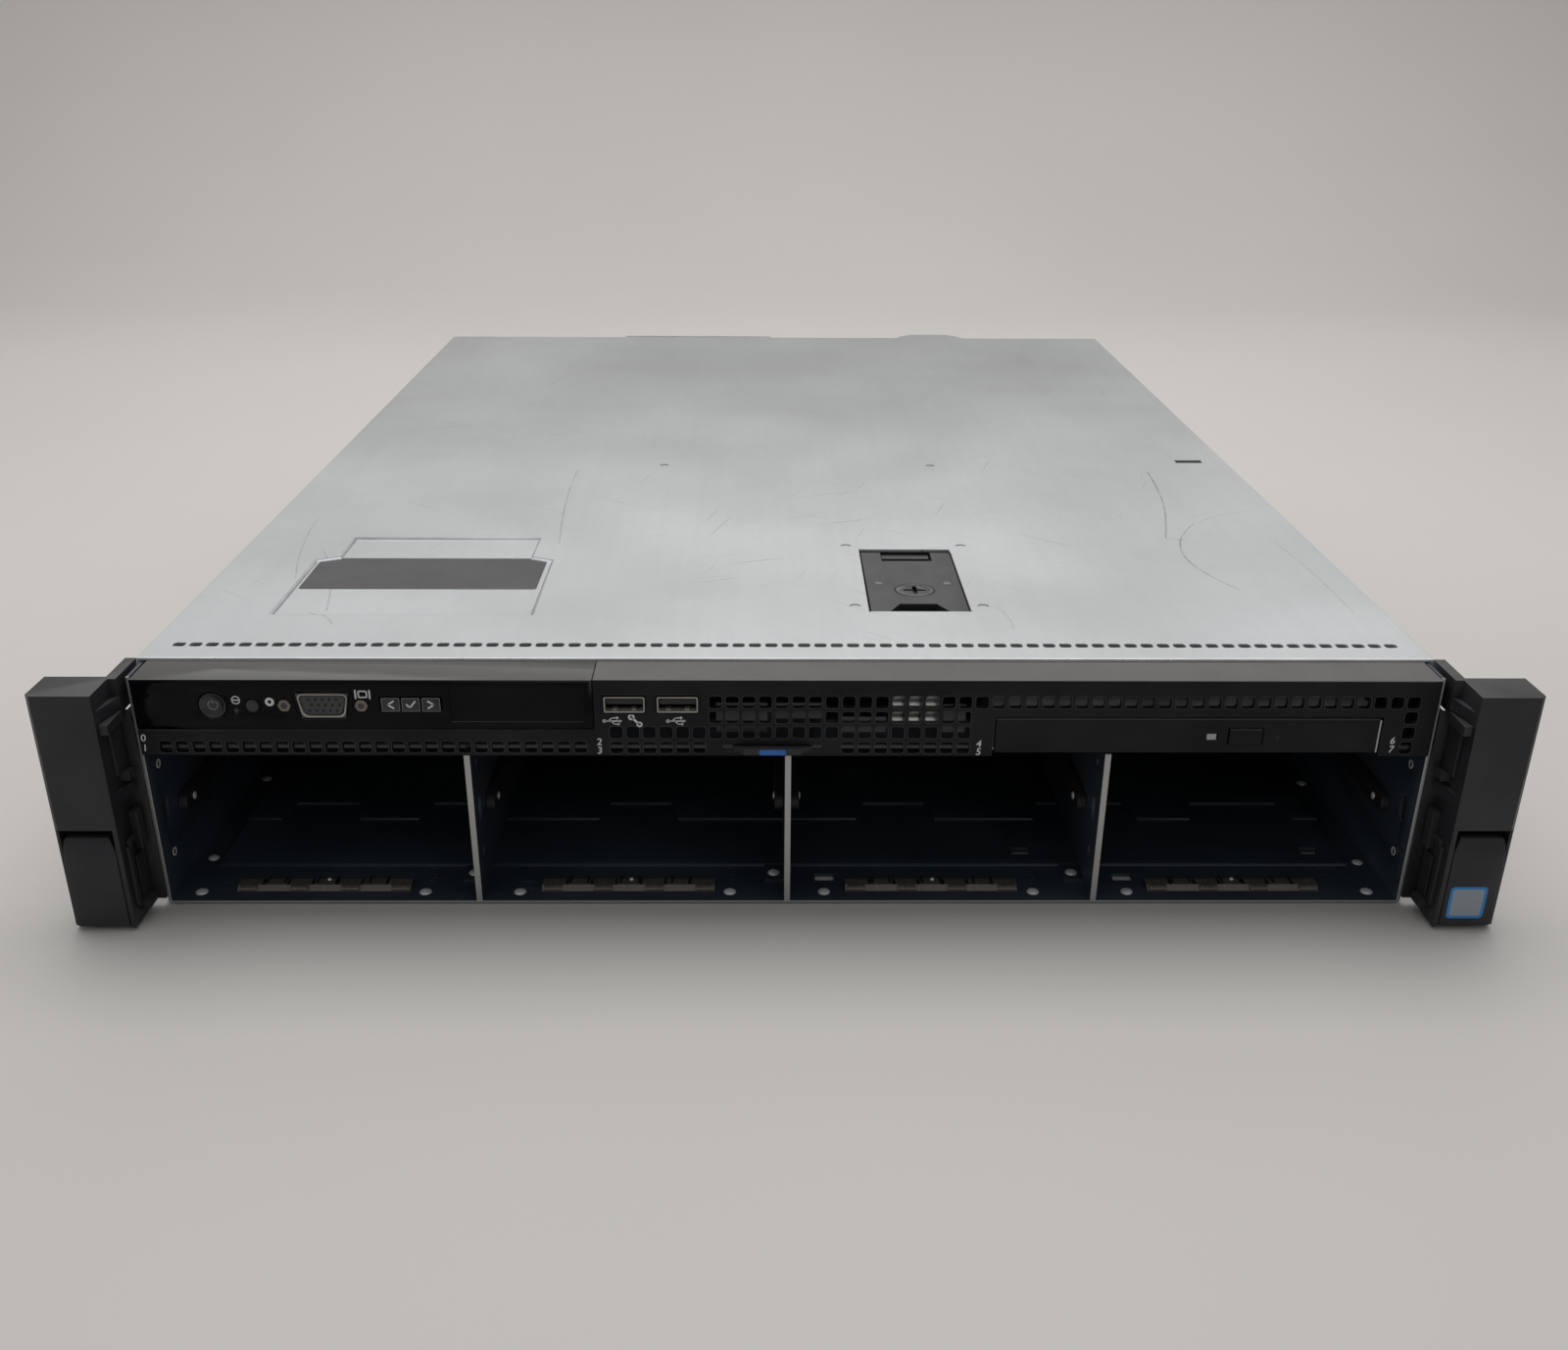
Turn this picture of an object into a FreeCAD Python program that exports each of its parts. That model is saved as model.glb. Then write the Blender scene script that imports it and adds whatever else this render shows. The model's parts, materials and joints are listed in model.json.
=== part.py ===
"""A 2U rack server with eight empty 3.5 inch drive bays, as an assembly of separate pieces.

Frame: X to the right seen from the front, Y into the rack, Z up, in millimetres.  The origin is
on the underside of the chassis, midway between the ears, at the plane of the rack posts.
"""

import FreeCAD
import Part
import Sketcher
import math
import os

doc = FreeCAD.newDocument("rack_server")


# ------------------------------------------------------------------------------------- sizes
# Every driving dimension: its name, its value in millimetres (or a plain count) and its meaning.

SIZES = [
    # whole unit
    ("chassis_width", 434.0, "over the side flanges of the cover"),
    ("chassis_height", 86.8, "underside to the top of the cover"),
    ("chassis_depth", 607.0, "rack plane to the back of the rear wall"),
    ("steel", 1.2, "gauge of the chassis sheet"),
    ("seam", 0.3, "clearance between separate pieces"),
    ("mouth", -0.5, "front edge of the tray behind the rack plane"),
    # tray
    ("tray_lip", 6.0, "inward flange along the top of the tray walls"),
    ("bend_radius", 2.0, "outside bend along the lower edges of the tray"),
    ("emboss", 1.0, "height of the floor embossing"),
    ("platform_width", 411.0, "raised floor of the drive bays"),
    ("platform_front", 24.9, "front step of the raised floor behind the mouth"),
    ("platform_depth", 81.1, "length of the raised floor"),
    ("notch_front", 34.4, "front of the second step behind the first"),
    ("notch_depth", 13.1, "setback of the second step in its notches"),
    ("notch_cant", 3.0, "slanted side of a notch"),
    ("notch_narrow", 24.0, "width of the first four notches in the second step"),
    ("notch_wide", 34.0, "width of the last two notches in the second step"),
    ("notch_1", -177.9, "middle of the first notch"),
    ("notch_2", -125.0, "middle of the second notch"),
    ("notch_3", -56.1, "middle of the third notch"),
    ("notch_4", 42.5, "middle of the fourth notch"),
    ("notch_5", 115.5, "middle of the fifth notch"),
    ("notch_6", 176.0, "middle of the sixth notch"),
    ("floor_slot_width", 6.8, "rectangular holes in the bay floor"),
    ("floor_slot_depth", 4.5, "rectangular holes in the bay floor, front to back"),
    ("floor_slot_left", 40.0, "front hole in the floor of a bay, left of its middle"),
    ("floor_slot_right", 33.3, "back hole in the floor of a bay, right of its middle"),
    ("floor_slot_near", 14.2, "front hole in the floor of a bay behind the rack plane"),
    ("floor_slot_far", 32.0, "back hole in the floor of a bay behind the rack plane"),
    ("wall_slot_height", 10.0, "locating slot in the side wall"),
    ("wall_slot_depth", 4.5, "locating slot in the side wall, front to back"),
    ("wall_slot_z", 33.0, "centre of the locating slot above the underside"),
    ("wall_slot_setback", 9.3, "locating slots and holes behind the mouth"),
    ("wall_hole_spread", 17.0, "locating holes above and below the slot"),
    ("wall_hole_radius", 2.2, "locating holes in the side wall"),
    ("standoff_height", 4.8, "floor to the underside of the system board"),
    ("standoff_radius", 3.0, "system board standoff, over its corners"),
    ("standoff_inset", 9.0, "standoffs inside the edges of the system board"),
    # cover
    ("cover_steel", 1.0, "gauge of the cover"),
    ("cover_gap", 0.2, "cover flange to tray wall"),
    ("cover_front", 13.5, "front edge of the cover behind the rack plane"),
    ("cover_back_gap", 3.5, "rear edge of the cover ahead of the back of the unit"),
    ("cover_flange", 7.0, "height of the cover's side flanges"),
    ("cover_lip", 4.0, "height of the cover's front flange"),
    ("cover_lip_inset", 5.0, "front flange short of the cover's corners"),
    ("cover_travel", 11.0, "slide of the cover before it lifts off"),
    ("vent_count", 75.0, "holes in the row along the front of the cover"),
    ("vent_pitch", 5.59, "spacing of the cover holes"),
    ("vent_width", 4.2, "cover hole across"),
    ("vent_depth", 3.5, "cover hole front to back"),
    ("vent_setback", 10.5, "cover holes behind the front edge"),
    ("pocket_sink", 0.8, "depth of the label pocket in the cover"),
    ("pocket_left", 184.8, "left edge of the label pocket from the middle"),
    ("pocket_width", 93.8, "wide part of the label pocket"),
    ("pocket_inset", 8.6, "narrow part of the label pocket, each side"),
    ("pocket_front", 42.2, "label pocket behind the front edge of the cover"),
    ("pocket_wide_depth", 63.0, "wide part of the label pocket, front to back"),
    ("pocket_narrow_depth", 30.0, "narrow part of the label pocket, front to back"),
    ("tab_x", 104.6, "centre of the lifting tab at the back of the cover"),
    ("tab_width", 42.0, "lifting tab"),
    ("tab_reach", 13.0, "lifting tab beyond the rear edge of the cover"),
    ("tab_corner", 9.0, "slanted corner of the lifting tab"),
    ("hook_x", 199.0, "centre of the pressed hook in the cover"),
    ("hook_setback", 259.0, "pressed hook behind the front edge of the cover"),
    ("hook_width", 13.0, "pressed hook"),
    ("hook_depth", 5.0, "pressed hook, front to back"),
    ("dimple_radius", 2.2, "dimples in the cover"),
    ("dimple_setback", 252.0, "dimples behind the front edge of the cover"),
    ("dimple_sink", 0.4, "depth of the dimples"),
    ("dimple_beside", 5.0, "dimples outside the latch opening"),
    ("dimple_near", 6.0, "front dimples behind the front of the latch opening"),
    ("dimple_wide", 86.0, "far dimple left of the latch opening"),
    # cover latch
    ("latch_x", 48.6, "centre line of the cover latch"),
    ("latch_front", 46.3, "latch opening behind the front edge of the cover"),
    ("latch_width", 36.8, "latch opening"),
    ("latch_length", 73.5, "latch opening, front to back"),
    ("pan_depth", 12.0, "latch pan below the top of the cover"),
    ("pan_wall", 1.2, "wall of the latch pan"),
    ("pan_flange", 5.0, "flange of the latch pan under the cover"),
    ("lever_thickness", 2.6, "latch lever"),
    ("lever_gap", 0.6, "latch lever to its opening"),
    ("lever_sink", 0.3, "latch lever below the top of the cover"),
    ("lever_rib", 1.6, "stiffening rib under each edge of the lever"),
    ("barrel_radius", 2.7, "hinge barrel of the lever"),
    ("lever_notch_width", 20.0, "notch in the hinge end of the lever"),
    ("lever_notch_depth", 11.0, "notch in the hinge end of the lever, front to back"),
    ("grip_width", 22.0, "finger recess in the front of the lever"),
    ("grip_depth", 8.5, "finger recess in the front of the lever, front to back"),
    ("hinge_setback", 4.4, "hinge pin ahead of the back of the lever"),
    ("hinge_drop", 4.2, "hinge pin below the top of the cover"),
    ("pin_radius", 1.2, "hinge pin"),
    ("pin_fit", 0.06, "radial clearance of hinge pins and shafts"),
    ("lock_radius", 7.2, "lock disc in the lever"),
    ("lock_setback", 24.5, "lock disc behind the front of the latch opening"),
    ("lock_thickness", 1.4, "lock disc"),
    ("lock_lip", 1.2, "retaining lip of the lock disc"),
    ("lock_slot", 1.6, "coin slot in the lock disc"),
    ("lock_slot_length", 8.5, "coin slot in the lock disc, end to end"),
    # drive bays
    ("bay_pitch", 107.4, "spacing of the bay dividers"),
    ("bay_height", 56.8, "tray floor to the shelf above the bays"),
    ("bay_depth", 161.3, "bay mouth to the backplane"),
    ("divider_steel", 2.0, "bay divider"),
    ("divider_foot", 7.0, "foot flange of a bay divider"),
    ("foot_setback", 13.3, "foot flange of a bay divider behind the mouth"),
    ("foot_length", 10.6, "foot flange of a bay divider, front to back"),
    ("shelf_setback", 4.7, "front edge of the shelf behind the mouth"),
    ("shelf_flange", 14.0, "upturned flange along each end of the shelf"),
    ("shelf_flange_setback", 16.0, "upturned flange behind the front edge of the shelf"),
    ("guide_height", 6.0, "drive guide"),
    ("guide_width", 3.4, "drive guide"),
    ("guide_z", 29.0, "middle of the drive guides above the underside"),
    ("guide_front", 19.3, "drive guide behind the mouth"),
    ("guide_length", 128.0, "drive guide"),
    ("guide_nose", 7.0, "tapered nose of a drive guide"),
    ("strip_width", 61.0, "contact strip"),
    ("strip_shift", 2.4, "contact strip left of the middle of its bay"),
    ("strip_depth", 8.3, "contact strip, front to back"),
    ("strip_setback", 6.9, "contact strip behind the mouth"),
    ("strip_height", 1.5, "contact strip above the floor"),
    ("strip_gauge", 0.4, "contact strip sheet"),
    ("strip_slit", 1.2, "slits in the contact strip"),
    ("strip_slit_pitch", 8.7, "spacing of the slits"),
    ("strip_slits", 6, "slits in a contact strip"),
    ("rivet_radius", 2.3, "floor rivet"),
    ("fastener_flats", 12, "flats round a small pin and its hole"),
    ("head_flats", 8, "flats round a rivet, stud or dimple"),
    ("ring_flats", 20, "flats round the hole of a button, the disc hub or the lock disc"),
    ("rivet_height", 0.9, "floor rivet head"),
    ("rivet_setback", 6.4, "floor rivets behind the mouth"),
    ("rivet_left", 40.5, "floor rivet left of the middle of a bay"),
    ("rivet_right", 33.6, "floor rivet right of the middle of a bay"),
    ("rivet_end", 45.1, "outermost floor rivets from the middle of a bay"),
    ("foot_rivet_setback", 18.1, "rivets in the divider feet behind the mouth"),
    ("backplane_thickness", 1.6, "backplane board"),
    ("backplane_margin", 1.6, "backplane board to the chassis walls"),
    ("backplane_drop", 3.0, "backplane board below the top of the tray"),
    ("window_gap", 4.0, "air window beside a drive connector"),
    ("window_width", 22.0, "air window in the backplane"),
    ("window_height", 18.0, "air window in the backplane"),
    ("connector_width", 43.0, "drive connector"),
    ("connector_height", 7.0, "drive connector"),
    ("connector_reach", 11.0, "drive connector ahead of the backplane"),
    # front panel
    ("panel_width", 427.0, "front panel"),
    ("panel_front", 4.0, "front panel ahead of the rack plane"),
    ("panel_bottom", 59.0, "lower edge of the front panel above the underside"),
    ("panel_top", 86.0, "top of the front panel above the underside"),
    ("panel_wall", 2.4, "front wall of the panel"),
    ("panel_roof", 1.8, "top wall of the panel"),
    ("panel_cheek", 0.6, "end walls of the panel above the bay shelf"),
    ("panel_cheek_depth", 12.0, "end walls of the panel, front to back"),
    ("control_width", 149.4, "glossy control panel"),
    ("control_bottom", 68.6, "lower edge of the control panel above the underside"),
    ("grid_pitch", 5.46, "spacing of the panel holes"),
    ("grid_hole", 4.2, "panel hole"),
    ("grid_x", 24.0, "first full column of panel holes, left of the middle"),
    ("grid_top", 78.3, "upper row of panel holes above the underside"),
    ("grid_drop", 5.42, "spacing of the rows of panel holes"),
    ("grid_long", 43, "holes in the upper row"),
    ("grid_short", 16, "holes in the second row"),
    ("grid_wide", 22, "holes in the third row"),
    ("grid_pair", 6, "holes in the fourth row, left of the tag"),
    ("grid_block", 8, "holes in the fourth row, right of the tag"),
    ("strip_grid_x", 205.3, "first hole under the control panel, left of the middle"),
    ("strip_grid_z", 62.2, "holes under the control panel above the underside"),
    ("strip_grid_count", 26, "holes under the control panel"),
    # controls
    ("control_z", 77.1, "centre line of the controls above the underside"),
    ("power_x", 187.6, "power button, left of the middle"),
    ("power_radius", 4.5, "power button"),
    ("diagnostic_x", 180.4, "diagnostic pin button, left of the middle"),
    ("diagnostic_z", 75.0, "diagnostic pin button above the underside"),
    ("diagnostic_radius", 0.8, "diagnostic pin button"),
    ("locate_x", 174.6, "locate button, left of the middle"),
    ("locate_radius", 2.1, "locate button"),
    ("button_gap", 0.25, "clearance round the buttons"),
    ("button_flange", 0.7, "retaining flange of a button"),
    ("button_proud", 0.5, "buttons ahead of the panel"),
    ("button_travel", 1.0, "stroke of the power button"),
    ("menu_x", 123.2, "middle menu button, left of the middle"),
    ("menu_pitch", 6.6, "spacing of the menu buttons"),
    ("menu_width", 6.0, "menu button"),
    ("menu_height", 4.8, "menu button"),
    ("menu_z", 77.4, "menu buttons above the underside"),
    ("screen_left", 110.5, "left edge of the display, left of the middle"),
    ("screen_width", 43.0, "display"),
    ("screen_height", 12.4, "display"),
    ("screen_sink", 0.4, "depth of the display window"),
    ("video_x", 151.8, "video port, left of the middle"),
    ("video_width", 17.2, "video port shell"),
    ("video_height", 8.6, "video port shell"),
    ("video_slant", 1.5, "inset of the lower corners of the video port shell"),
    ("video_wall", 0.8, "rim of the video port"),
    ("video_core", 0.9, "gap between the rim and the core of the video port"),
    ("screw_spread", 25.0, "video port screw posts, centre to centre"),
    ("post_radius", 2.2, "video port screw post"),
    ("port_proud", 0.4, "ports ahead of the panel"),
    ("usb_x", 53.8, "left universal port, left of the middle"),
    ("usb_pitch", 17.4, "spacing of the universal ports"),
    ("usb_z", 77.5, "universal ports above the underside"),
    ("usb_width", 12.6, "opening of a universal port"),
    ("usb_height", 4.7, "opening of a universal port"),
    ("usb_wall", 0.4, "shell of a universal port"),
    ("usb_depth", 14.0, "shell of a universal port, front to back"),
    ("board_gap", 11.5, "control board behind the front of the panel"),
    ("board_thickness", 1.6, "printed circuit boards"),
    ("board_margin", 6.0, "control board inside the ends of the control panel"),
    ("switch_size", 3.6, "push switches behind the buttons"),
    ("switch_shift", 1.2, "locate switch right of its button"),
    # information tag
    ("tag_x", 5.3, "centre of the information tag, left of the middle"),
    ("tag_slot_width", 33.0, "slot for the information tag"),
    ("tag_slot_height", 2.4, "slot for the information tag"),
    ("tag_z", 61.8, "information tag above the underside"),
    ("tag_width", 26.4, "information tag"),
    ("tag_thickness", 1.4, "information tag"),
    ("tag_length", 72.0, "information tag behind its grip"),
    ("tag_grip_width", 21.0, "grip of the information tag"),
    ("tag_grip_reach", 3.2, "grip of the information tag ahead of the panel"),
    ("tag_grip_height", 2.0, "grip of the information tag"),
    # optical drive
    ("disc_x", 132.0, "centre of the optical drive"),
    ("disc_width", 128.0, "optical drive case"),
    ("disc_height", 12.7, "optical drive case"),
    ("disc_depth", 126.0, "optical drive case, front to back"),
    ("disc_bottom", 60.0, "optical drive above the underside"),
    ("disc_steel", 0.6, "sheet of the optical drive case"),
    ("disc_bezel", 3.2, "bezel of the disc tray"),
    ("tray_thickness", 3.6, "disc tray"),
    ("disc_recess_radius", 60.5, "round recess for the disc"),
    ("disc_recess", 1.6, "depth of the recess for the disc"),
    ("recess_flats", 32, "flats round the recess for the disc"),
    ("hub_radius", 7.4, "disc hub"),
    ("hub_height", 3.6, "disc hub"),
    ("hub_gap", 1.6, "hub to its hole in the tray"),
    ("hub_setback", 2.0, "recess for the disc behind the bezel"),
    ("eject_x", 19.3, "eject button, right of the middle of the drive"),
    ("eject_width", 11.0, "eject button"),
    ("eject_height", 5.5, "eject button"),
    ("eject_rise", 6.1, "eject button above the bottom of the drive"),
    ("eject_proud", 0.4, "eject button ahead of the bezel"),
    ("eject_travel", 0.8, "stroke of the eject button"),
    ("lamp_x", 3.5, "activity lamp left of the eject button"),
    ("lamp_width", 3.5, "activity lamp"),
    ("lamp_height", 2.2, "activity lamp"),
    # ears
    ("ear_span", 482.4, "over both ears"),
    ("ear_reach", 18.4, "ears ahead of the rack plane"),
    ("ear_width", 20.9, "front face of an ear"),
    ("ear_bottom", 1.4, "lower end of the ears above the underside"),
    ("ear_top", 86.2, "upper end of the ears above the underside"),
    ("ear_wall", 2.0, "wall of an ear"),
    ("ear_arm", 14.8, "arm of an ear behind the rack plane"),
    ("ear_corner", 1.6, "rounded outer edge of an ear"),
    ("ear_edge", 1.0, "strip of an ear outside its slam latch"),
    ("bracket_steel", 1.5, "rack bracket"),
    ("bracket_leg", 44.0, "leg of the rack bracket along the chassis"),
    ("bracket_bottom", 3.0, "rack bracket above the underside"),
    ("bracket_top", 74.0, "top of the rack bracket above the underside"),
    ("rack_hole_spacing", 465.1, "rack screw holes, centre to centre"),
    ("rack_hole_z", 60.0, "rack screw holes above the underside"),
    ("rack_hole_radius", 3.3, "rack screw holes"),
    ("latch_plate_top", 34.6, "top of the slam latch plate above the underside"),
    ("latch_recess", 3.8, "finger recess above the slam latch plate"),
    ("latch_plate_margin", 1.9, "slam latch plate inside the inner edge of the ear"),
    ("latch_plate_thickness", 3.0, "slam latch plate"),
    ("latch_arm_width", 8.0, "hook arm of the slam latch"),
    ("latch_hook", 5.0, "hook of the slam latch behind the rack plane"),
    ("clip_reach", 2.6, "bezel clips on the inner side of the ears"),
    ("clip_height", 4.0, "bezel clips on the inner side of the ears"),
    ("clip_low", 46.0, "lower bezel clip above the underside"),
    ("clip_high", 76.0, "upper bezel clip above the underside"),
    ("latch_scoop", 2.6, "setback of the finger grip at the top of the slam latch plate"),
    ("latch_grip_height", 8.0, "finger grip at the top of the slam latch plate"),
    ("latch_rise", 3.4, "stroke of the slam latch"),
    ("latch_cant_wide", 2.4, "slanted inner corner of the slam latch plate, across"),
    ("latch_cant_tall", 5.0, "slanted inner corner of the slam latch plate, up"),
    ("latch_cant_outer", 1.0, "slanted outer corner of the slam latch plate"),
    ("finger_gap", 1.2, "slam latch to the back of its finger recess"),
    # rail studs
    ("stud_radius", 3.0, "shank of a rail stud"),
    ("stud_head", 4.6, "head of a rail stud"),
    ("stud_shank", 2.0, "length of the shank of a rail stud"),
    ("stud_head_height", 1.2, "height of the head of a rail stud"),
    ("stud_first", 70.0, "first rail stud behind the rack plane"),
    ("stud_pitch", 160.0, "spacing of the rail studs"),
    ("stud_z", 36.0, "rail studs above the underside"),
    # fans
    ("fan_size", 80.0, "fan frame, square"),
    ("fan_depth", 38.0, "fan frame, front to back"),
    ("fan_front", 182.0, "fan frames behind the rack plane"),
    ("fan_pitch", 106.0, "spacing of the fans"),
    ("fan_strut", 4.0, "width of a motor strut"),
    ("fan_strut_depth", 4.0, "depth of a motor strut"),
    ("fan_struts", 4, "motor struts"),
    ("fan_inset", 3.0, "fan rotor behind the front of its frame"),
    ("blade_half_chord", 9.0, "half width of a fan blade seen from the front"),
    ("blade_thickness", 1.6, "fan blade"),
    ("blade_round", 1.4, "flat tip of a fan blade inside the sweep of its corners"),
    ("fan_bore", 38.4, "radius of the fan bore"),
    ("fan_tip", 37.4, "radius over the fan blades"),
    ("fan_hub", 18.5, "radius of the fan hub"),
    ("fan_blades", 7.0, "blades of a fan"),
    ("fan_flats", 24, "flats round the hub, the motor and the bore of a fan"),
    ("fan_boss", 4.0, "radius of the round boss on the front of a fan rotor"),
    ("fan_boss_height", 0.8, "boss on the front of a fan rotor"),
    # system board and what stands on it
    ("main_left", 211.0, "left edge of the system board from the middle"),
    ("main_right", 112.0, "right edge of the system board from the middle"),
    ("main_front", 236.0, "system board behind the rack plane"),
    ("main_back", 597.0, "back edge of the system board"),
    ("sink_size", 84.0, "processor heat sink"),
    ("sink_height", 58.0, "processor heat sink"),
    ("sink_base", 7.0, "base of the heat sink"),
    ("sink_fins", 15.0, "fins of the heat sink"),
    ("fin_thickness", 1.2, "fin of the heat sink"),
    ("socket_height", 6.0, "processor socket"),
    ("socket_size", 56.0, "processor socket"),
    ("chip_size", 24.0, "large chips on the system board"),
    ("chip_height", 8.0, "large chips on the system board"),
    ("sink_y", 292.0, "centre of the heat sinks behind the rack plane"),
    ("sink_left", 128.0, "centre of the left heat sink from the middle"),
    ("sink_right", 24.0, "centre of the right heat sink from the middle"),
    ("module_height", 30.0, "memory module"),
    ("module_length", 133.0, "memory module"),
    ("module_thickness", 3.2, "memory module with its chips"),
    ("module_pitch", 9.0, "spacing of the memory modules"),
    ("module_slot", 1.6, "memory slot beyond its module"),
    ("module_seat", 6.0, "height of the board slots"),
    ("bank_left", 207.0, "left memory bank from the middle"),
    ("bank_right", 30.0, "right memory bank from the middle"),
    ("shroud_front", 234.0, "front of the air shroud"),
    ("shroud_depth", 150.0, "air shroud, front to back"),
    ("shroud_wall", 1.8, "wall of the air shroud"),
    ("shroud_top", 81.5, "top of the air shroud above the underside"),
    ("shroud_inset", 12.0, "air shroud inside the right edge of the board"),
    ("shroud_foot", 5.0, "slanted upper corners of the air shroud"),
    ("riser_x", 8.0, "riser card, right of the middle"),
    ("riser_front", 420.0, "front of the riser card"),
    ("riser_depth", 130.0, "riser card, front to back"),
    ("riser_top", 80.0, "top of the riser card above the underside"),
    ("riser_margin", 20.0, "card connectors inside the ends of the riser"),
    ("riser_socket", 9.0, "card connectors on the riser"),
    # rear wall
    ("slot_left", 101.8, "left end of the card slots from the middle"),
    ("slot_width", 98.4, "card slot"),
    ("slot_height", 13.6, "card slot"),
    ("slot_pitch", 18.6, "spacing of the card slots"),
    ("slot_bottom", 29.0, "lowest card slot above the underside"),
    ("slot_margin", 1.6, "card slot cover beyond its slot"),
    ("low_slot_left", 208.0, "left end of the short card slots from the middle"),
    ("low_slot_width", 80.0, "short card slot"),
    ("port_height", 13.4, "rear ports"),
    ("rear_grid_pitch", 10.6, "spacing of the rear vent holes"),
    ("rear_grid_hole", 8.6, "rear vent hole"),
    ("rear_grid_x", 16.0, "first rear vent hole, right of the middle"),
    ("rear_grid_z", 34.0, "lowest rear vent hole above the underside"),
    ("rear_grid_columns", 6, "rear vent holes across"),
    ("rear_grid_rows", 4, "rear vent holes up"),
    ("cover_vents", 4, "vents in a card slot cover"),
    ("cover_vent", 8.0, "half length of a vent in a card slot cover"),
    ("port_row_left", 206.0, "left end of the rear ports from the middle"),
    ("port_space", 5.0, "space between the rear ports"),
    ("port_wall", 1.0, "wall of the rear ports"),
    ("rear_port_depth", 16.0, "rear ports, front to back"),
    ("serial_width", 31.0, "serial port"),
    ("display_width", 31.0, "rear video port"),
    ("bus_width", 14.0, "rear universal port"),
    ("jack_width", 16.0, "network jack"),
    ("flap_reach", 9.0, "slot retainer behind the rear wall"),
    ("flap_height", 12.0, "slot retainer"),
    ("flap_gauge", 1.4, "sheet of the slot retainer"),
    ("flap_knuckle", 2.2, "hinge barrel of the slot retainer"),
    ("flap_pin", 1.1, "hinge pin of the slot retainer"),
    ("lug_gap", 0.5, "slot retainer to its hinge lugs"),
    ("lug_width", 3.0, "hinge lugs of the slot retainer"),
    ("flap_top", 85.4, "top of the slot retainer above the underside"),
    # power supplies
    ("supply_x", 167.0, "centre of the power supplies"),
    ("supply_width", 86.0, "power supply"),
    ("supply_height", 39.0, "power supply"),
    ("supply_depth", 185.0, "power supply, front to back"),
    ("supply_floor", 0.3, "running gap under a power supply"),
    ("cage_steel", 1.0, "power supply cage"),
    ("cage_margin", 6.0, "cage ahead of the power supplies"),
    ("handle_reach", 20.0, "handle of a power supply behind its face"),
    ("handle_width", 34.0, "handle of a power supply"),
    ("handle_bar", 4.0, "thickness of the handle"),
    ("handle_margin", 6.0, "handle inside the left side of its supply"),
    ("handle_height", 8.0, "height of the handle"),
    ("inlet_width", 24.4, "opening of the power inlet"),
    ("inlet_height", 16.6, "opening of the power inlet"),
    ("inlet_depth", 15.0, "depth of the power inlet"),
    ("inlet_margin", 8.0, "power inlet inside the right side of its supply"),
    ("supply_grid_x", 15.0, "first vent hole inside the left side of a supply"),
    ("supply_grid_z", 6.6, "lowest vent hole above the bottom of a supply"),
    ("supply_grid_pitch", 8.8, "spacing of the vent holes of a supply"),
    ("supply_grid_columns", 3, "vent holes of a supply across"),
    ("supply_grid_rows", 4, "vent holes of a supply up"),
    ("supply_hole", 6.4, "vent hole of a supply"),
    ("supply_latch_length", 26.0, "release lever of a power supply"),
    ("supply_latch_inset", 6.0, "release lever's pin inside the right side of its supply"),
    ("supply_latch_z", 6.0, "release lever's pin above the bottom of its supply"),
    ("supply_latch_reach", 3.4, "release lever's pin behind the face of its supply"),
    ("supply_latch_thickness", 2.4, "release lever of a power supply"),
    ("supply_latch_collar", 3.4, "collar of the release lever"),
    ("supply_latch_grip", 9.0, "thumb grip of the release lever"),
]

sheet = doc.addObject("Spreadsheet::Sheet", "Sizes")


class Size:
    """A length: its value in millimetres and the formula on the sheet that it is worked out by."""

    def __init__(self, value, formula):
        self.value = value
        self.formula = formula

    def joined(self, sign, other, result):
        return Size(result, f"({self.formula} {sign} {other.formula})")

    def __add__(self, other):
        other = size_of(other)
        return self.joined("+", other, self.value + other.value)

    def __sub__(self, other):
        other = size_of(other)
        return self.joined("-", other, self.value - other.value)

    def __mul__(self, other):
        other = size_of(other)
        return self.joined("*", other, self.value * other.value)

    def __truediv__(self, other):
        other = size_of(other)
        return self.joined("/", other, self.value / other.value)

    def __neg__(self):
        return size_of(0) - self

    def __radd__(self, other):
        return size_of(other) + self

    def __rsub__(self, other):
        return size_of(other) - self

    def __rmul__(self, other):
        return size_of(other) * self

    def __float__(self):
        return float(self.value)


def size_of(number):
    """A plain number as a Size; a Size as it is."""
    return number if isinstance(number, Size) else Size(float(number), f"{number:g}")


def fill_sheet():
    """Writes the sizes to the sheet and returns them by name."""
    named = {}
    for row, (name, value, meaning) in enumerate(SIZES, 1):
        sheet.set(f"A{row}", name)
        sheet.set(f"B{row}", str(value))
        sheet.set(f"C{row}", meaning)
        sheet.setAlias(f"B{row}", name)
        named[name] = Size(value, f"Sizes.{name}")
    return named


S = fill_sheet()
doc.recompute()


# ------------------------------------------------------------------------------------- tools

PIECES = []


def rect(left, right, low, high):
    """A rectangle between two positions along each axis of its plane."""
    return [(left, low), (right, low), (right, high), (left, high)]


def square(across, up, side):
    """A square about its middle."""
    return rect(across - side / 2, across + side / 2, up - side / 2, up + side / 2)


def disc(across, up, radius):
    """A circle about its middle."""
    return ("disc", across, up, radius)


def polygon(across, up, radius, flats):
    """A many-sided outline about its middle, with its corners at the radius."""
    count = int(float(flats))
    corners = []
    for index in range(count):
        angle = 2 * math.pi * (index + 0.5) / count
        corners.append((across + radius * math.cos(angle), up + radius * math.sin(angle)))
    return corners


def mirrored(outline):
    """An outline turned over to the other side of the first axis."""
    if outline[0] == "disc":
        return disc(-outline[1], outline[2], outline[3])
    return [(-size_of(across), up) for across, up in outline]


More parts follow.
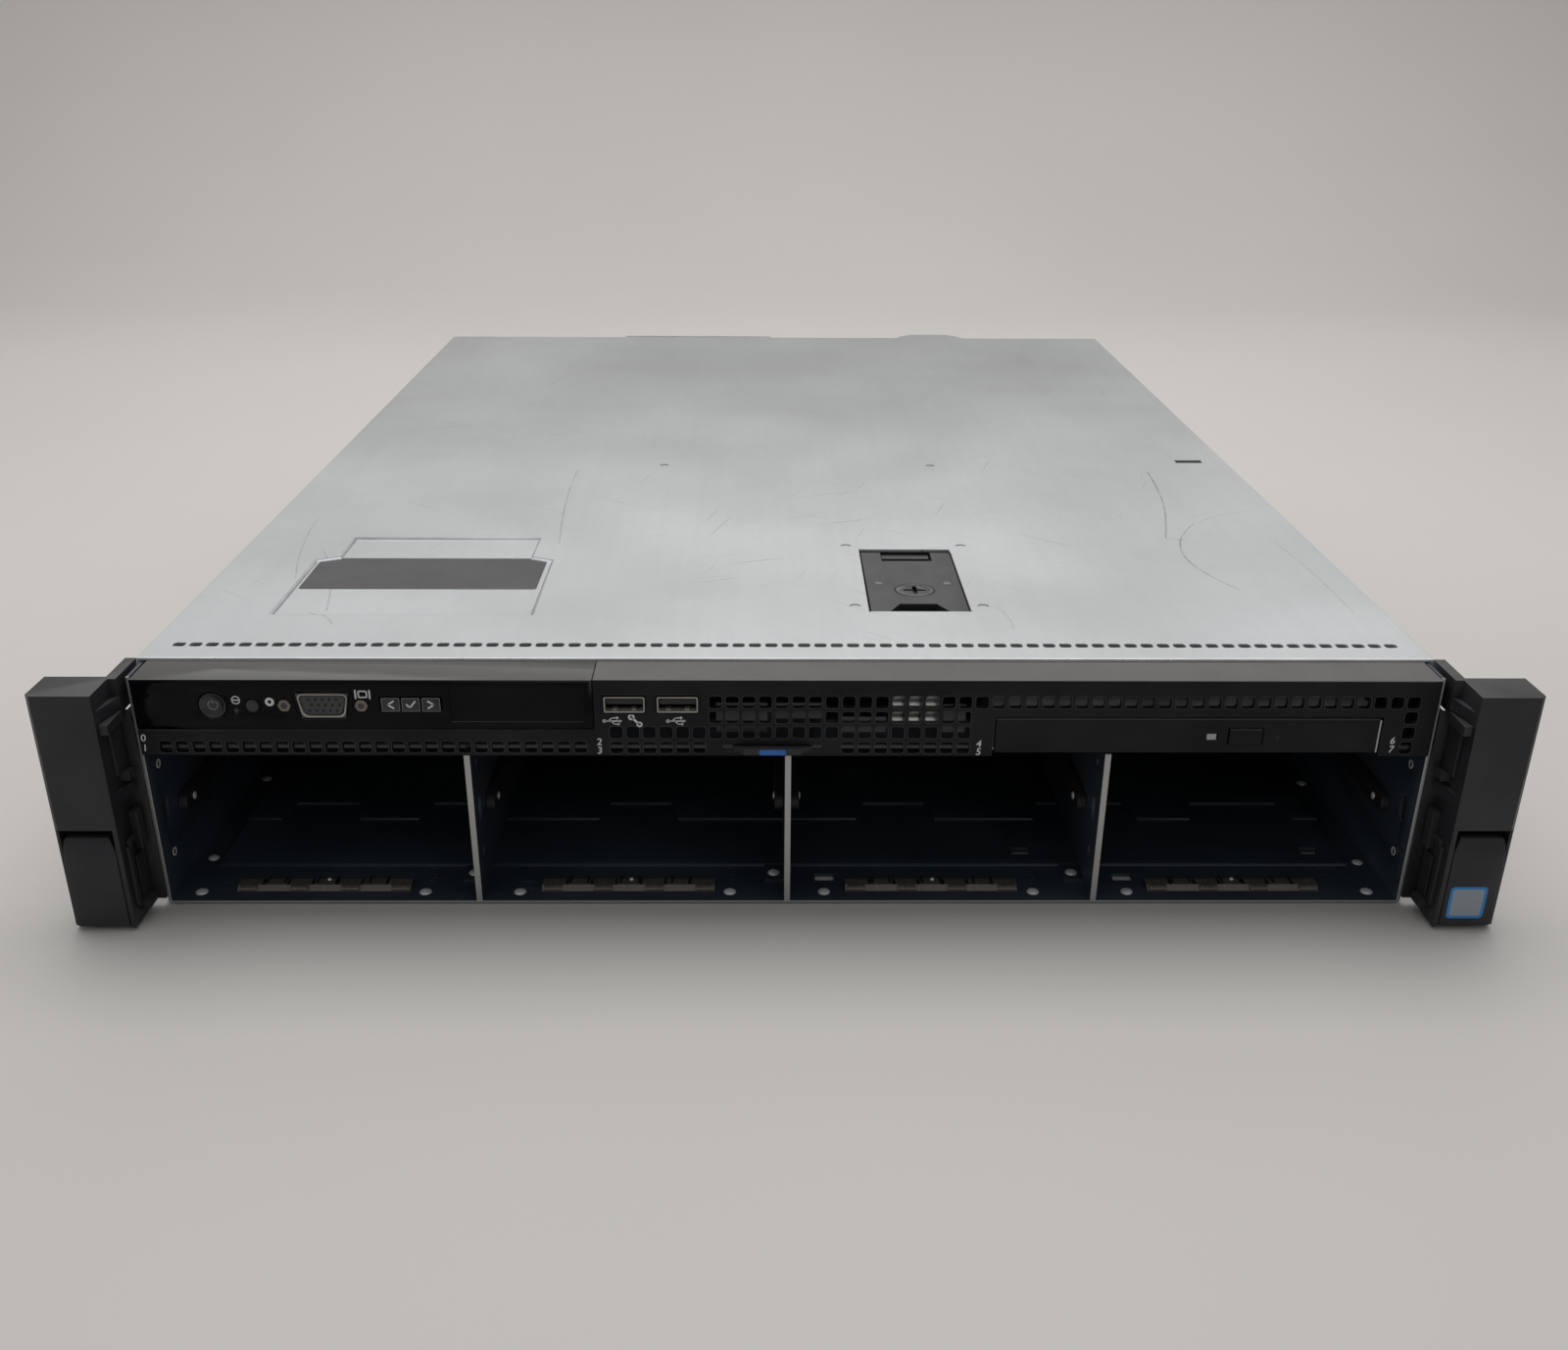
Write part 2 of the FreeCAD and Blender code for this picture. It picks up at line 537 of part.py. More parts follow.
def draw(sketch, outlines):
    """Adds outlines to a sketch, with each point or circle held by sizes from the sheet."""
    curves = []
    joined = []
    held = []
    for outline in outlines:
        first = len(curves)
        if outline[0] == "disc":
            across, up, radius = [size_of(size) for size in outline[1:]]
            middle = FreeCAD.Vector(across.value, up.value, 0)
            curves.append(Part.Circle(middle, FreeCAD.Vector(0, 0, 1), radius.value))
            held.append((("Radius", first), radius))
            held.append((("DistanceX", -1, 1, first, 3), across))
            held.append((("DistanceY", -1, 1, first, 3), up))
            continue
        corners = [(size_of(across), size_of(up)) for across, up in outline]
        points = [FreeCAD.Vector(across.value, up.value, 0) for across, up in corners]
        for index, (across, up) in enumerate(corners):
            following = (index + 1) % len(corners)
            curves.append(Part.LineSegment(points[index], points[following]))
            joined.append(Sketcher.Constraint("Coincident", first + index, 2, first + following, 1))
            held.append((("DistanceX", -1, 1, first + index, 1), across))
            held.append((("DistanceY", -1, 1, first + index, 1), up))
    sketch.addGeometry(curves, False)
    sketch.addConstraint(joined + [Sketcher.Constraint(*place, size.value) for place, size in held])
    for number, (place, size) in enumerate(held, len(joined)):
        sketch.setExpression(f"Constraints[{number}]", size.formula)


class Piece:
    """One sub-part: a body built up from profiles drawn on its three main planes.

    A profile on XY is drawn in (x, y), on XZ in (x, z) and on YZ in (y, z).  Each feature runs
    from its level in the direction of the third axis, over its depth.
    """

    def __init__(self, label, at=None):
        self.body = doc.addObject("PartDesign::Body", label)
        self.body.Label = label
        self.planes = {item.Role: item for item in self.body.Origin.OriginFeatures}
        for axis, place in zip("xyz", at or ()):
            self.body.setExpression(f"Placement.Base.{axis}", size_of(place).formula)
        PIECES.append(self.body)

    def sketch(self, plane, level, outlines):
        level = size_of(level)
        profile = self.body.newObject("Sketcher::SketchObject", f"Profile_{self.body.Name}")
        profile.AttachmentSupport = [(self.planes[f"{plane}_Plane"], "")]
        profile.MapMode = "FlatFace"
        offset = -level if plane == "XZ" else level
        profile.setExpression("AttachmentOffset.Base.z", offset.formula)
        draw(profile, outlines)
        return profile

    def feature(self, kind, plane, level, depth, outlines, reverse):
        profile = self.sketch(plane, level, outlines)
        item = self.body.newObject(f"PartDesign::{kind}", f"{kind}_{self.body.Name}")
        item.Profile = profile
        item.setExpression("Length", size_of(depth).formula)
        item.Reversed = reverse
        item.Refine = kind == "Pad"
        self.body.Tip = item
        return item

    def add(self, plane, level, depth, *outlines):
        """Adds material from the level over the depth."""
        return self.feature("Pad", plane, level, depth, outlines, plane == "XZ")

    def cut(self, plane, level, depth, *outlines):
        """Takes material away from the level over the depth."""
        return self.feature("Pocket", plane, level, depth, outlines, plane != "XZ")

    def row(self, feature, axis, pitch, count, axis2=None, pitch2=None, count2=None):
        """Repeats a feature along one axis, or along two."""
        item = self.body.newObject("PartDesign::LinearPattern", f"Row_{self.body.Name}")
        item.Refine = False
        item.Originals = [feature]
        item.Direction = (self.planes[f"{axis}_Axis"], [""])
        item.setExpression("Length", (pitch * (size_of(count) - 1)).formula)
        item.setExpression("Occurrences", size_of(count).formula)
        if axis2:
            item.Direction2 = (self.planes[f"{axis2}_Axis"], [""])
            item.setExpression("Length2", (pitch2 * (size_of(count2) - 1)).formula)
            item.setExpression("Occurrences2", size_of(count2).formula)
        self.body.Tip = item
        return item

    def ring(self, feature, axis, count):
        """Repeats a feature evenly round an axis of the piece."""
        item = self.body.newObject("PartDesign::PolarPattern", f"Ring_{self.body.Name}")
        item.Originals = [feature]
        item.Axis = (self.planes[f"{axis}_Axis"], [""])
        item.Angle = 360
        item.setExpression("Occurrences", size_of(count).formula)
        self.body.Tip = item
        return item

    def rounded(self, radius, chosen):
        """Rounds the edges that the test picks by their middle points."""
        doc.recompute()
        base = self.body.Tip
        names = []
        for number, edge in enumerate(base.Shape.Edges, 1):
            middle = edge.valueAt((edge.FirstParameter + edge.LastParameter) / 2)
            if chosen(middle, edge):
                names.append(f"Edge{number}")
        item = self.body.newObject("PartDesign::Fillet", f"Fillet_{self.body.Name}")
        item.Base = (base, names)
        item.setExpression("Radius", size_of(radius).formula)
        self.body.Tip = item
        return item


def near(value, size):
    """Whether a coordinate lies at a size."""
    return abs(value - float(size)) < 0.01


# ------------------------------------------------------------------ planes that pieces share

half = S["chassis_width"] / 2
wall_out = half - S["cover_steel"] - S["cover_gap"]
wall_in = wall_out - S["steel"]
cover_under = S["chassis_height"] - S["cover_steel"]
tray_top = cover_under - S["seam"]
floor_top = S["steel"]
rear_out = S["chassis_depth"]
rear_in = rear_out - S["steel"]
cover_back = rear_out - S["cover_back_gap"]
lip_front = S["cover_front"] + S["cover_steel"] + S["cover_travel"] + 2 * S["seam"]
shelf_under = floor_top + S["bay_height"]
shelf_top = shelf_under + S["steel"]
backplane_front = S["mouth"] + S["bay_depth"]
panel_face = -S["panel_front"]
panel_back = panel_face + S["panel_wall"]
roof_under = S["panel_top"] - S["panel_roof"]
roof_back = S["cover_front"] - S["seam"]
control_left = -(S["panel_width"] / 2)
control_right = control_left + S["control_width"]
board_front = panel_face + S["board_gap"]
flange_front = panel_back + S["seam"]
main_under = floor_top + S["standoff_height"]
main_top = main_under + S["board_thickness"]
latch_left = S["latch_x"] - S["latch_width"] / 2
latch_right = S["latch_x"] + S["latch_width"] / 2
latch_near = S["cover_front"] + S["latch_front"]
latch_far = latch_near + S["latch_length"]
pin_y = latch_far - S["hinge_setback"]
pin_z = S["chassis_height"] - S["hinge_drop"]
lock_y = latch_near + S["lock_setback"]
supply_left = S["supply_x"] - S["supply_width"] / 2
supply_right = S["supply_x"] + S["supply_width"] / 2
supply_low = floor_top + S["supply_floor"]
shelf_low = supply_low + S["supply_height"] + S["seam"]
supply_high = shelf_low + S["cage_steel"] + S["seam"]
cage_top = supply_high + S["supply_height"] + S["seam"]
columns = [S["bay_pitch"] * step for step in (-1.5, -0.5, 0.5, 1.5)]
platform_front = S["mouth"] + S["platform_front"]
platform_back = platform_front + S["platform_depth"]


# ------------------------------------------------------------------------ tray and drive bays

def chassis_tray():
    piece = Piece("chassis_tray")
    section = [(-wall_out, 0), (wall_out, 0), (wall_out, tray_top), (wall_in, tray_top),
               (wall_in, floor_top), (-wall_in, floor_top), (-wall_in, tray_top),
               (-wall_out, tray_top)]
    piece.add("XZ", S["mouth"], rear_in - S["mouth"], section)
    piece.rounded(S["bend_radius"], lambda middle, edge: near(abs(middle.x), wall_out)
                  and near(middle.z, 0) and near(middle.y, (S["mouth"] + rear_in) / 2))
    lip = rect(wall_in - S["tray_lip"], wall_in + S["steel"] / 2, tray_top - S["steel"], tray_top)
    piece.add("XZ", lip_front, rear_in - lip_front, lip, mirrored(lip))
    stepped = platform_front + S["notch_front"]
    left = -S["platform_width"] / 2
    right = S["platform_width"] / 2
    step = [(right, stepped), (right, platform_back), (left, platform_back), (left, stepped)]
    for number in range(1, 7):
        middle = S[f"notch_{number}"]
        notch = (S["notch_narrow"] if number < 5 else S["notch_wide"]) / 2
        step += [(middle - notch - S["notch_cant"], stepped),
                 (middle - notch, stepped + S["notch_depth"]),
                 (middle + notch, stepped + S["notch_depth"]),
                 (middle + notch + S["notch_cant"], stepped)]
    piece.add("XY", floor_top, S["emboss"], rect(left, right, platform_front, platform_back))
    piece.add("XY", floor_top + S["emboss"], S["emboss"], step)
    slots = []
    for column in columns[2:]:
        for offset, setback in ((-S["floor_slot_left"], S["floor_slot_near"]),
                                (S["floor_slot_right"], S["floor_slot_far"])):
            middle = column + offset
            slots.append(rect(middle - S["floor_slot_width"] / 2,
                              middle + S["floor_slot_width"] / 2,
                              setback, setback + S["floor_slot_depth"]))
    piece.cut("XY", 0, floor_top + 2 * S["emboss"], *slots)
    piece.cut("YZ", -half, S["chassis_width"], *wall_slots())


def wall_slots():
    """Locating slots near the mouth, the same in the walls and the dividers."""
    across = S["mouth"] + S["wall_slot_setback"]
    low = S["wall_slot_z"] - S["wall_slot_height"] / 2
    high = S["wall_slot_z"] + S["wall_slot_height"] / 2
    cant = S["wall_slot_depth"] / 2
    hexagon = [(across - cant, low + cant), (across, low), (across + cant, low + cant),
               (across + cant, high - cant), (across, high), (across - cant, high - cant)]
    return [hexagon,
            polygon(across, S["wall_slot_z"] - S["wall_hole_spread"], S["wall_hole_radius"], 6),
            polygon(across, S["wall_slot_z"] + S["wall_hole_spread"], S["wall_hole_radius"], 6)]


def rear_panel():
    piece = Piece("rear_panel")
    piece.add("XZ", rear_in, S["steel"], rect(-wall_out, wall_out, 0, tray_top))
    gap = S["seam"]
    openings = [rect(supply_left - gap, supply_right + gap, supply_low - gap, shelf_low),
                rect(supply_left - gap, supply_right + gap, supply_high - gap, cage_top)]
    openings += [rect(*slot) for slot in card_slots()]
    openings += [rect(port[0] - gap, port[1] + gap, main_top, port_top + gap) for port in ports()]
    piece.cut("XZ", rear_in, S["steel"], *openings)
    first = square(S["rear_grid_x"], S["rear_grid_z"], S["rear_grid_hole"])
    vent = piece.cut("XZ", rear_in, S["steel"], first)
    piece.row(vent, "X", S["rear_grid_pitch"], S["rear_grid_columns"],
              "Z", S["rear_grid_pitch"], S["rear_grid_rows"])
    lugs = [rect(flap_left - S["lug_gap"] - S["lug_width"], flap_left - S["lug_gap"],
                 flap_pin_z - S["lug_width"] / 2, flap_pin_z + S["lug_width"] / 2),
            rect(flap_right + S["lug_gap"], flap_right + S["lug_gap"] + S["lug_width"],
                 flap_pin_z - S["lug_width"] / 2, flap_pin_z + S["lug_width"] / 2)]
    piece.add("XZ", rear_out, flap_pin_y + S["lug_width"] / 2 - rear_out, *lugs)
    piece.add("YZ", flap_left - S["lug_gap"] - S["lug_width"] / 2,
              flap_right - flap_left + 2 * S["lug_gap"] + S["lug_width"],
              polygon(flap_pin_y, flap_pin_z, S["flap_pin"], S["fastener_flats"]))


def drive_bay_shelf():
    piece = Piece("drive_bay_shelf")
    edge = wall_in - S["seam"]
    front = S["mouth"] + S["shelf_setback"]
    depth = backplane_front - S["seam"] - front
    piece.add("XZ", front, depth, rect(-edge, edge, shelf_under, shelf_top))
    rib = rect(-edge, -edge + S["steel"], shelf_top, shelf_top + S["shelf_flange"])
    piece.add("XZ", front + S["shelf_flange_setback"], depth - S["shelf_flange_setback"],
              rib, mirrored(rib))


def bay_divider(number):
    piece = Piece(f"bay_divider_{number}")
    middle = S["bay_pitch"] * (number - 2)
    left = middle - S["divider_steel"] / 2
    front = S["mouth"]
    depth = S["bay_depth"] - S["seam"]
    piece.add("YZ", left, S["divider_steel"], rect(front, front + depth, floor_top, shelf_under))
    clear = rect(platform_front - S["seam"], platform_back + S["seam"], floor_top,
                 floor_top + 2 * S["emboss"] + S["seam"])
    piece.cut("YZ", left, S["divider_steel"], clear, *wall_slots())
    foot = rect(left - S["divider_foot"], left, front + S["foot_setback"],
                front + S["foot_setback"] + S["foot_length"])
    piece.add("XY", floor_top, S["steel"], foot)
    head = rect(left - S["divider_foot"], left, front + S["foot_setback"], front + depth)
    piece.add("XY", shelf_under - S["steel"], S["steel"], head)


def drive_guides():
    piece = Piece("drive_guides")
    front = S["mouth"] + S["guide_front"]
    nose = front + S["guide_nose"]
    back = front + S["guide_length"]
    low = S["guide_z"] - S["guide_height"] / 2
    guides = []
    walls = [-wall_in] + [S["bay_pitch"] * step for step in (-1, 0, 1)] + [wall_in]
    for index, wall in enumerate(walls):
        for side in (-1, 1):
            if (index, side) in ((0, -1), (4, 1)):
                continue
            face = wall if index in (0, 4) else wall + side * S["divider_steel"] / 2
            tip = face + side * S["guide_width"]
            guides.append([(face, front), (tip, nose), (tip, back), (face, back)])
    piece.add("XY", low, S["guide_height"], *guides)


def contact_strips():
    piece = Piece("contact_strips")
    front = S["mouth"] + S["strip_setback"]
    back = front + S["strip_depth"]
    lean = S["strip_depth"] / 4
    gauge = S["strip_gauge"]
    crest = floor_top + S["strip_height"]
    section = [(front, floor_top), (front + gauge, floor_top), (front + lean, crest - gauge),
               (back - lean, crest - gauge), (back - gauge, floor_top), (back, floor_top),
               (back - lean, crest), (front + lean, crest)]
    left = columns[0] - S["strip_shift"] - S["strip_width"] / 2
    strip = piece.add("YZ", left, S["strip_width"], section)
    piece.row(strip, "X", S["bay_pitch"], 4)
    slit = rect(left + S["strip_slit_pitch"] - S["strip_slit"] / 2,
                left + S["strip_slit_pitch"] + S["strip_slit"] / 2,
                front + lean, back)
    narrow = piece.cut("XY", floor_top, S["strip_height"], slit)
    piece.row(narrow, "X", S["strip_slit_pitch"], S["strip_slits"], "X", S["bay_pitch"], 4)


def floor_rivets():
    piece = Piece("floor_rivets")
    along = S["mouth"] + S["rivet_setback"]
    flats = S["head_flats"]
    places = [columns[0] - S["rivet_end"], columns[0] + S["rivet_right"]]
    for column in columns[1:3]:
        places += [column - S["rivet_left"], column + S["rivet_right"]]
    places += [columns[3] - S["rivet_left"], columns[3] + S["rivet_end"]]
    heads = [polygon(place, along, S["rivet_radius"], flats) for place in places]
    piece.add("XY", floor_top, S["rivet_height"], *heads)
    left = -S["divider_steel"] / 2 - S["divider_foot"] / 2
    foot_heads = [polygon(left + S["bay_pitch"] * step, S["mouth"] + S["foot_rivet_setback"],
                          S["rivet_radius"], flats) for step in (-1, 0, 1)]
    piece.add("XY", floor_top + S["steel"], S["rivet_height"], *foot_heads)


def backplane():
    piece = Piece("backplane")
    edge = wall_in - S["backplane_margin"]
    low = floor_top + S["seam"]
    high = tray_top - S["backplane_drop"]
    piece.add("XZ", backplane_front, S["backplane_thickness"], rect(-edge, edge, low, high))
    windows = []
    for column in columns:
        left = column - S["connector_width"] / 2
        right = column + S["connector_width"] / 2
        for level in (0.2, 0.8):
            middle = floor_top + S["bay_height"] * level
            windows.append(rect(right + S["window_gap"], right + S["window_gap"] + S["window_width"],
                                middle - S["window_height"] / 2, middle + S["window_height"] / 2))
            windows.append(rect(left - S["window_gap"] - S["window_width"], left - S["window_gap"],
                                middle - S["window_height"] / 2, middle + S["window_height"] / 2))
    piece.cut("XZ", backplane_front, S["backplane_thickness"], *windows)


def drive_connectors():
    piece = Piece("drive_connectors")
    shells = []
    mouths = []
    for column in columns:
        left = column - S["connector_width"] / 2
        right = column + S["connector_width"] / 2
        for level in (0.25, 0.75):
            middle = floor_top + S["bay_height"] * level
            low = middle - S["connector_height"] / 2
            high = middle + S["connector_height"] / 2
            wall = S["connector_height"] / 4
            shells.append(rect(left, right, low, high))
            mouths.append(rect(left + wall, right - wall, low + wall, high - wall))
    front = backplane_front - S["connector_reach"]
    piece.add("XZ", front, S["connector_reach"], *shells)
    piece.cut("XZ", front, S["connector_reach"] * 0.6, *mouths)


# -------------------------------------------------------------------------------- front panel

def front_panel():
    piece = Piece("front_panel")
    edge = S["panel_width"] / 2
    low = S["panel_bottom"]
    top = S["panel_top"]
    ledge = S["control_bottom"] - S["seam"]
    side = control_right + S["seam"]
    face = [(-edge, low), (edge, low), (edge, top), (side, top), (side, ledge), (-edge, ledge)]
    piece.add("XZ", panel_face, S["panel_wall"], face)
    piece.add("XZ", panel_back, roof_back - panel_back, rect(side, edge, roof_under, top))
    cheeks = [rect(edge - S["panel_wall"], edge, shelf_top + S["panel_cheek"], roof_under),
              rect(-edge, -edge + S["panel_wall"], shelf_top + S["panel_cheek"], ledge)]
    piece.add("XZ", panel_back, S["panel_cheek_depth"], *cheeks)
    gap = S["seam"]
    bay_left = S["disc_x"] - S["disc_width"] / 2 - gap
    bay_right = S["disc_x"] + S["disc_width"] / 2 + gap
    openings = [rect(bay_left, bay_right, low, S["disc_bottom"] + S["disc_height"] + gap)]
    for index in range(2):
        middle = -S["usb_x"] + S["usb_pitch"] * index
        wide = S["usb_width"] / 2 + S["usb_wall"] + gap
        tall = S["usb_height"] / 2 + S["usb_wall"] + gap
        openings.append(rect(middle - wide, middle + wide, S["usb_z"] - tall, S["usb_z"] + tall))
    slot = S["tag_slot_width"] / 2
    openings.append(rect(-S["tag_x"] - slot, -S["tag_x"] + slot, S["tag_z"] - S["tag_slot_height"] / 2,
                         S["tag_z"] + S["tag_slot_height"] / 2))
    piece.cut("XZ", panel_face, S["panel_wall"], *openings)
    pitch = S["grid_pitch"]
    first = -S["grid_x"]
    left_hole = square(-S["strip_grid_x"], S["strip_grid_z"], S["grid_hole"])
    vent = piece.cut("XZ", panel_face, S["panel_wall"], left_hole)
    piece.row(vent, "X", pitch, S["strip_grid_count"])
    rows = ((0, 0, S["grid_long"]), (1, 0, S["grid_short"]), (2, -6, S["grid_wide"]),
            (3, -6, S["grid_pair"]), (3, 8, S["grid_block"]))
    for level, start, count in rows:
        hole = square(first + pitch * start, S["grid_top"] - S["grid_drop"] * level, S["grid_hole"])
        vent = piece.cut("XZ", panel_face, S["panel_wall"], hole)
        piece.row(vent, "X", pitch, count)
    hole = square(first + pitch * (S["grid_long"] - 1), S["grid_top"] - 3 * S["grid_drop"],
                  S["grid_hole"])
    vent = piece.cut("XZ", panel_face, S["panel_wall"], hole)
    piece.row(vent, "Z", S["grid_drop"], 3)


def control_panel():
    piece = Piece("control_panel")
    low = S["control_bottom"]
    piece.add("XZ", panel_face, S["panel_wall"], rect(control_left, control_right, low, S["panel_top"]))
    piece.add("XZ", panel_back, roof_back - panel_back,
              rect(control_left, control_right, roof_under, S["panel_top"]))
    gap = S["button_gap"]
    flats = S["ring_flats"]
    openings = [polygon(-S["power_x"], S["control_z"], S["power_radius"] + gap, flats),
                polygon(-S["locate_x"], S["control_z"], S["locate_radius"] + gap, flats),
                polygon(-S["diagnostic_x"], S["diagnostic_z"], S["diagnostic_radius"] + gap,
                        S["fastener_flats"]),
                rect(-S["menu_x"] - 1.5 * S["menu_pitch"] - gap, -S["menu_x"] + 1.5 * S["menu_pitch"] + gap,
                     S["menu_z"] - S["menu_height"] / 2 - gap, S["menu_z"] + S["menu_height"] / 2 + gap),
                video_shell(S["seam"])]
    openings += [polygon(-S["video_x"] + side * S["screw_spread"] / 2, S["control_z"],
                         S["post_radius"] + S["seam"], 6) for side in (-1, 1)]
    piece.cut("XZ", panel_face, S["panel_wall"], *openings)
    piece.cut("XZ", panel_face, S["screen_sink"],
              rect(-S["screen_left"], -S["screen_left"] + S["screen_width"],
                   S["menu_z"] - S["screen_height"] / 2, S["menu_z"] + S["screen_height"] / 2))


def video_shell(grow):
    """Outline of the video port, narrower along its lower side."""
    wide = S["video_width"] / 2 + grow
    tall = S["video_height"] / 2 + grow
    middle = -S["video_x"]
    return [(middle - wide + S["video_slant"], S["control_z"] - tall),
            (middle + wide - S["video_slant"], S["control_z"] - tall),
            (middle + wide, S["control_z"] + tall), (middle - wide, S["control_z"] + tall)]


def control_board():
    piece = Piece("control_board")
    margin = S["board_margin"]
    piece.add("XZ", board_front, S["board_thickness"],
              rect(control_left + margin, control_right - margin, S["control_bottom"],
                   roof_under - S["seam"]))
    switch = S["switch_size"]
    places = [(-S["power_x"], S["control_z"]), (-S["locate_x"] + S["switch_shift"], S["control_z"]),
              (-S["menu_x"] - S["menu_pitch"], S["menu_z"]), (-S["menu_x"], S["menu_z"]),
              (-S["menu_x"] + S["menu_pitch"], S["menu_z"])]
    switch_front = flange_front + S["button_flange"] + S["button_travel"] + S["seam"]
    piece.add("XZ", switch_front, board_front - switch_front,
              *[square(across, up, switch) for across, up in places])


def video_port():
    piece = Piece("video_port")
    back = board_front - S["seam"]
    front = panel_face - S["port_proud"]
    piece.add("XZ", front, back - front, video_shell(0))
    piece.cut("XZ", front, (back - front) / 2, video_shell(-S["video_wall"]))
    posts = [polygon(-S["video_x"] + side * S["screw_spread"] / 2, S["control_z"],
                     S["post_radius"], 6) for side in (-1, 1)]
    piece.add("XZ", front, back - front, *posts)
    reach = S["screw_spread"] / 2 + S["post_radius"] + S["seam"]
    piece.add("XZ", flange_front, S["button_flange"],
              rect(-S["video_x"] - reach, -S["video_x"] + reach,
                   S["control_z"] - S["video_height"] / 2, S["control_z"] + S["video_height"] / 2))
    core = S["video_wall"] + S["video_core"]
    piece.add("XZ", front + S["video_core"], (back - front) / 2, video_shell(-core))


def usb_ports():
    piece = Piece("usb_ports")
    front = panel_face - S["port_proud"]
    shells = []
    mouths = []
    tongues = []
    for index in range(2):
        middle = -S["usb_x"] + S["usb_pitch"] * index
        wide = S["usb_width"] / 2
        tall = S["usb_height"] / 2
        wall = S["usb_wall"]
        shells.append(rect(middle - wide - wall, middle + wide + wall, S["usb_z"] - tall - wall,
                           S["usb_z"] + tall + wall))
        mouths.append(rect(middle - wide, middle + wide, S["usb_z"] - tall, S["usb_z"] + tall))
        tongues.append(rect(middle - wide + wall, middle + wide - wall, S["usb_z"],
                            S["usb_z"] + tall - 2 * wall))
    piece.add("XZ", front, S["usb_depth"], *shells)
    piece.cut("XZ", front, S["usb_depth"] - S["usb_wall"], *mouths)
    piece.add("XZ", front + 2 * S["usb_wall"], S["usb_depth"] - 3 * S["usb_wall"], *tongues)


def round_button(label, across, up, radius, proud):
    """A button held behind the panel by its flange."""
    piece = Piece(label)
    front = panel_face - proud
    flange_back = flange_front + S["button_flange"]
    piece.add("XZ", front, flange_back - front, disc(across, up, radius))
    piece.add("XZ", flange_front, S["button_flange"],
              square(across, up, 2 * radius + 4 * S["button_gap"]))


def menu_button(label, step):
    """One of the three keys side by side; its outer edges have a flange behind the panel."""
    piece = Piece(label)
    front = panel_face - S["button_proud"] / 2
    flange_back = flange_front + S["button_flange"]
    middle = -S["menu_x"] + S["menu_pitch"] * step
    wide = S["menu_width"] / 2
    tall = S["menu_height"] / 2
    gap = 2 * S["button_gap"]
    piece.add("XZ", front, flange_back - front,
              rect(middle - wide, middle + wide, S["menu_z"] - tall, S["menu_z"] + tall))
    piece.add("XZ", flange_front, S["button_flange"],
              rect(middle - wide, middle + wide, S["menu_z"] - tall - gap, S["menu_z"] + tall + gap))


def information_tag():
    piece = Piece("information_tag")
    low = S["tag_z"] - S["tag_thickness"] / 2
    wide = S["tag_width"] / 2
    grip = S["tag_grip_width"] / 2
    front = panel_face - S["seam"] - S["tag_grip_reach"]
    piece.add("XY", low, S["tag_thickness"],
              rect(-S["tag_x"] - wide, -S["tag_x"] + wide, panel_face - S["seam"],
                   panel_face + S["tag_length"]))
    cant = S["tag_grip_reach"] / 3
    outline = [(-S["tag_x"] - grip + cant, front), (-S["tag_x"] + grip - cant, front),
               (-S["tag_x"] + grip, front + cant), (-S["tag_x"] + wide, panel_face - S["seam"]),
               (-S["tag_x"] - wide, panel_face - S["seam"]), (-S["tag_x"] - grip, front + cant)]
    piece.add("XY", S["tag_z"] - S["tag_grip_height"] / 2, S["tag_grip_height"], outline)


# ------------------------------------------------------------------------------ optical drive

disc_left = S["disc_x"] - S["disc_width"] / 2
disc_right = S["disc_x"] + S["disc_width"] / 2
disc_top = S["disc_bottom"] + S["disc_height"]
disc_face = panel_face - S["seam"]
case_front = disc_face + S["disc_bezel"] + S["seam"]
case_floor = S["disc_bottom"] + S["disc_steel"]
tray_under = case_floor + S["seam"]
hub_y = case_front + S["disc_recess_radius"] + S["hub_setback"]


def optical_drive():
    piece = Piece("optical_drive")
    piece.add("XZ", case_front, S["disc_depth"], rect(disc_left, disc_right, S["disc_bottom"], disc_top))
    wall = S["disc_steel"]
    piece.cut("XZ", case_front, S["disc_depth"] - wall,
              rect(disc_left + wall, disc_right - wall, case_floor, disc_top - wall))


def disc_tray():
    piece = Piece("disc_tray")
    gap = S["seam"]
    piece.add("XZ", disc_face, S["disc_bezel"],
              rect(disc_left + gap, disc_right - gap, S["disc_bottom"] + gap, disc_top - gap))
    edge = S["disc_steel"] + gap
    piece.add("XY", tray_under, S["tray_thickness"],
              rect(disc_left + edge, disc_right - edge, disc_face + S["disc_bezel"] / 2,
                   case_front + S["disc_depth"] - 2 * edge))
    plate_top = tray_under + S["tray_thickness"]
    piece.cut("XY", plate_top - S["disc_recess"], S["disc_recess"],
              polygon(S["disc_x"], hub_y, S["disc_recess_radius"], S["recess_flats"]))
    piece.cut("XY", tray_under + S["disc_steel"], S["tray_thickness"],
              polygon(S["disc_x"], hub_y, S["hub_radius"] + S["hub_gap"], S["ring_flats"]))
    middle = S["disc_x"] + S["eject_x"]
    wide = S["eject_width"] / 2 + S["button_gap"]
    tall = S["eject_height"] / 2 + S["button_gap"]
    piece.cut("XZ", disc_face, S["disc_bezel"],
              rect(middle - wide, middle + wide, eject_z - tall, eject_z + tall))
    piece.cut("XZ", disc_face, S["disc_bezel"] / 4,
              rect(middle - wide - S["lamp_x"] - S["lamp_width"], middle - wide - S["lamp_x"],
                   eject_z - S["lamp_height"] / 2, eject_z + S["lamp_height"] / 2))


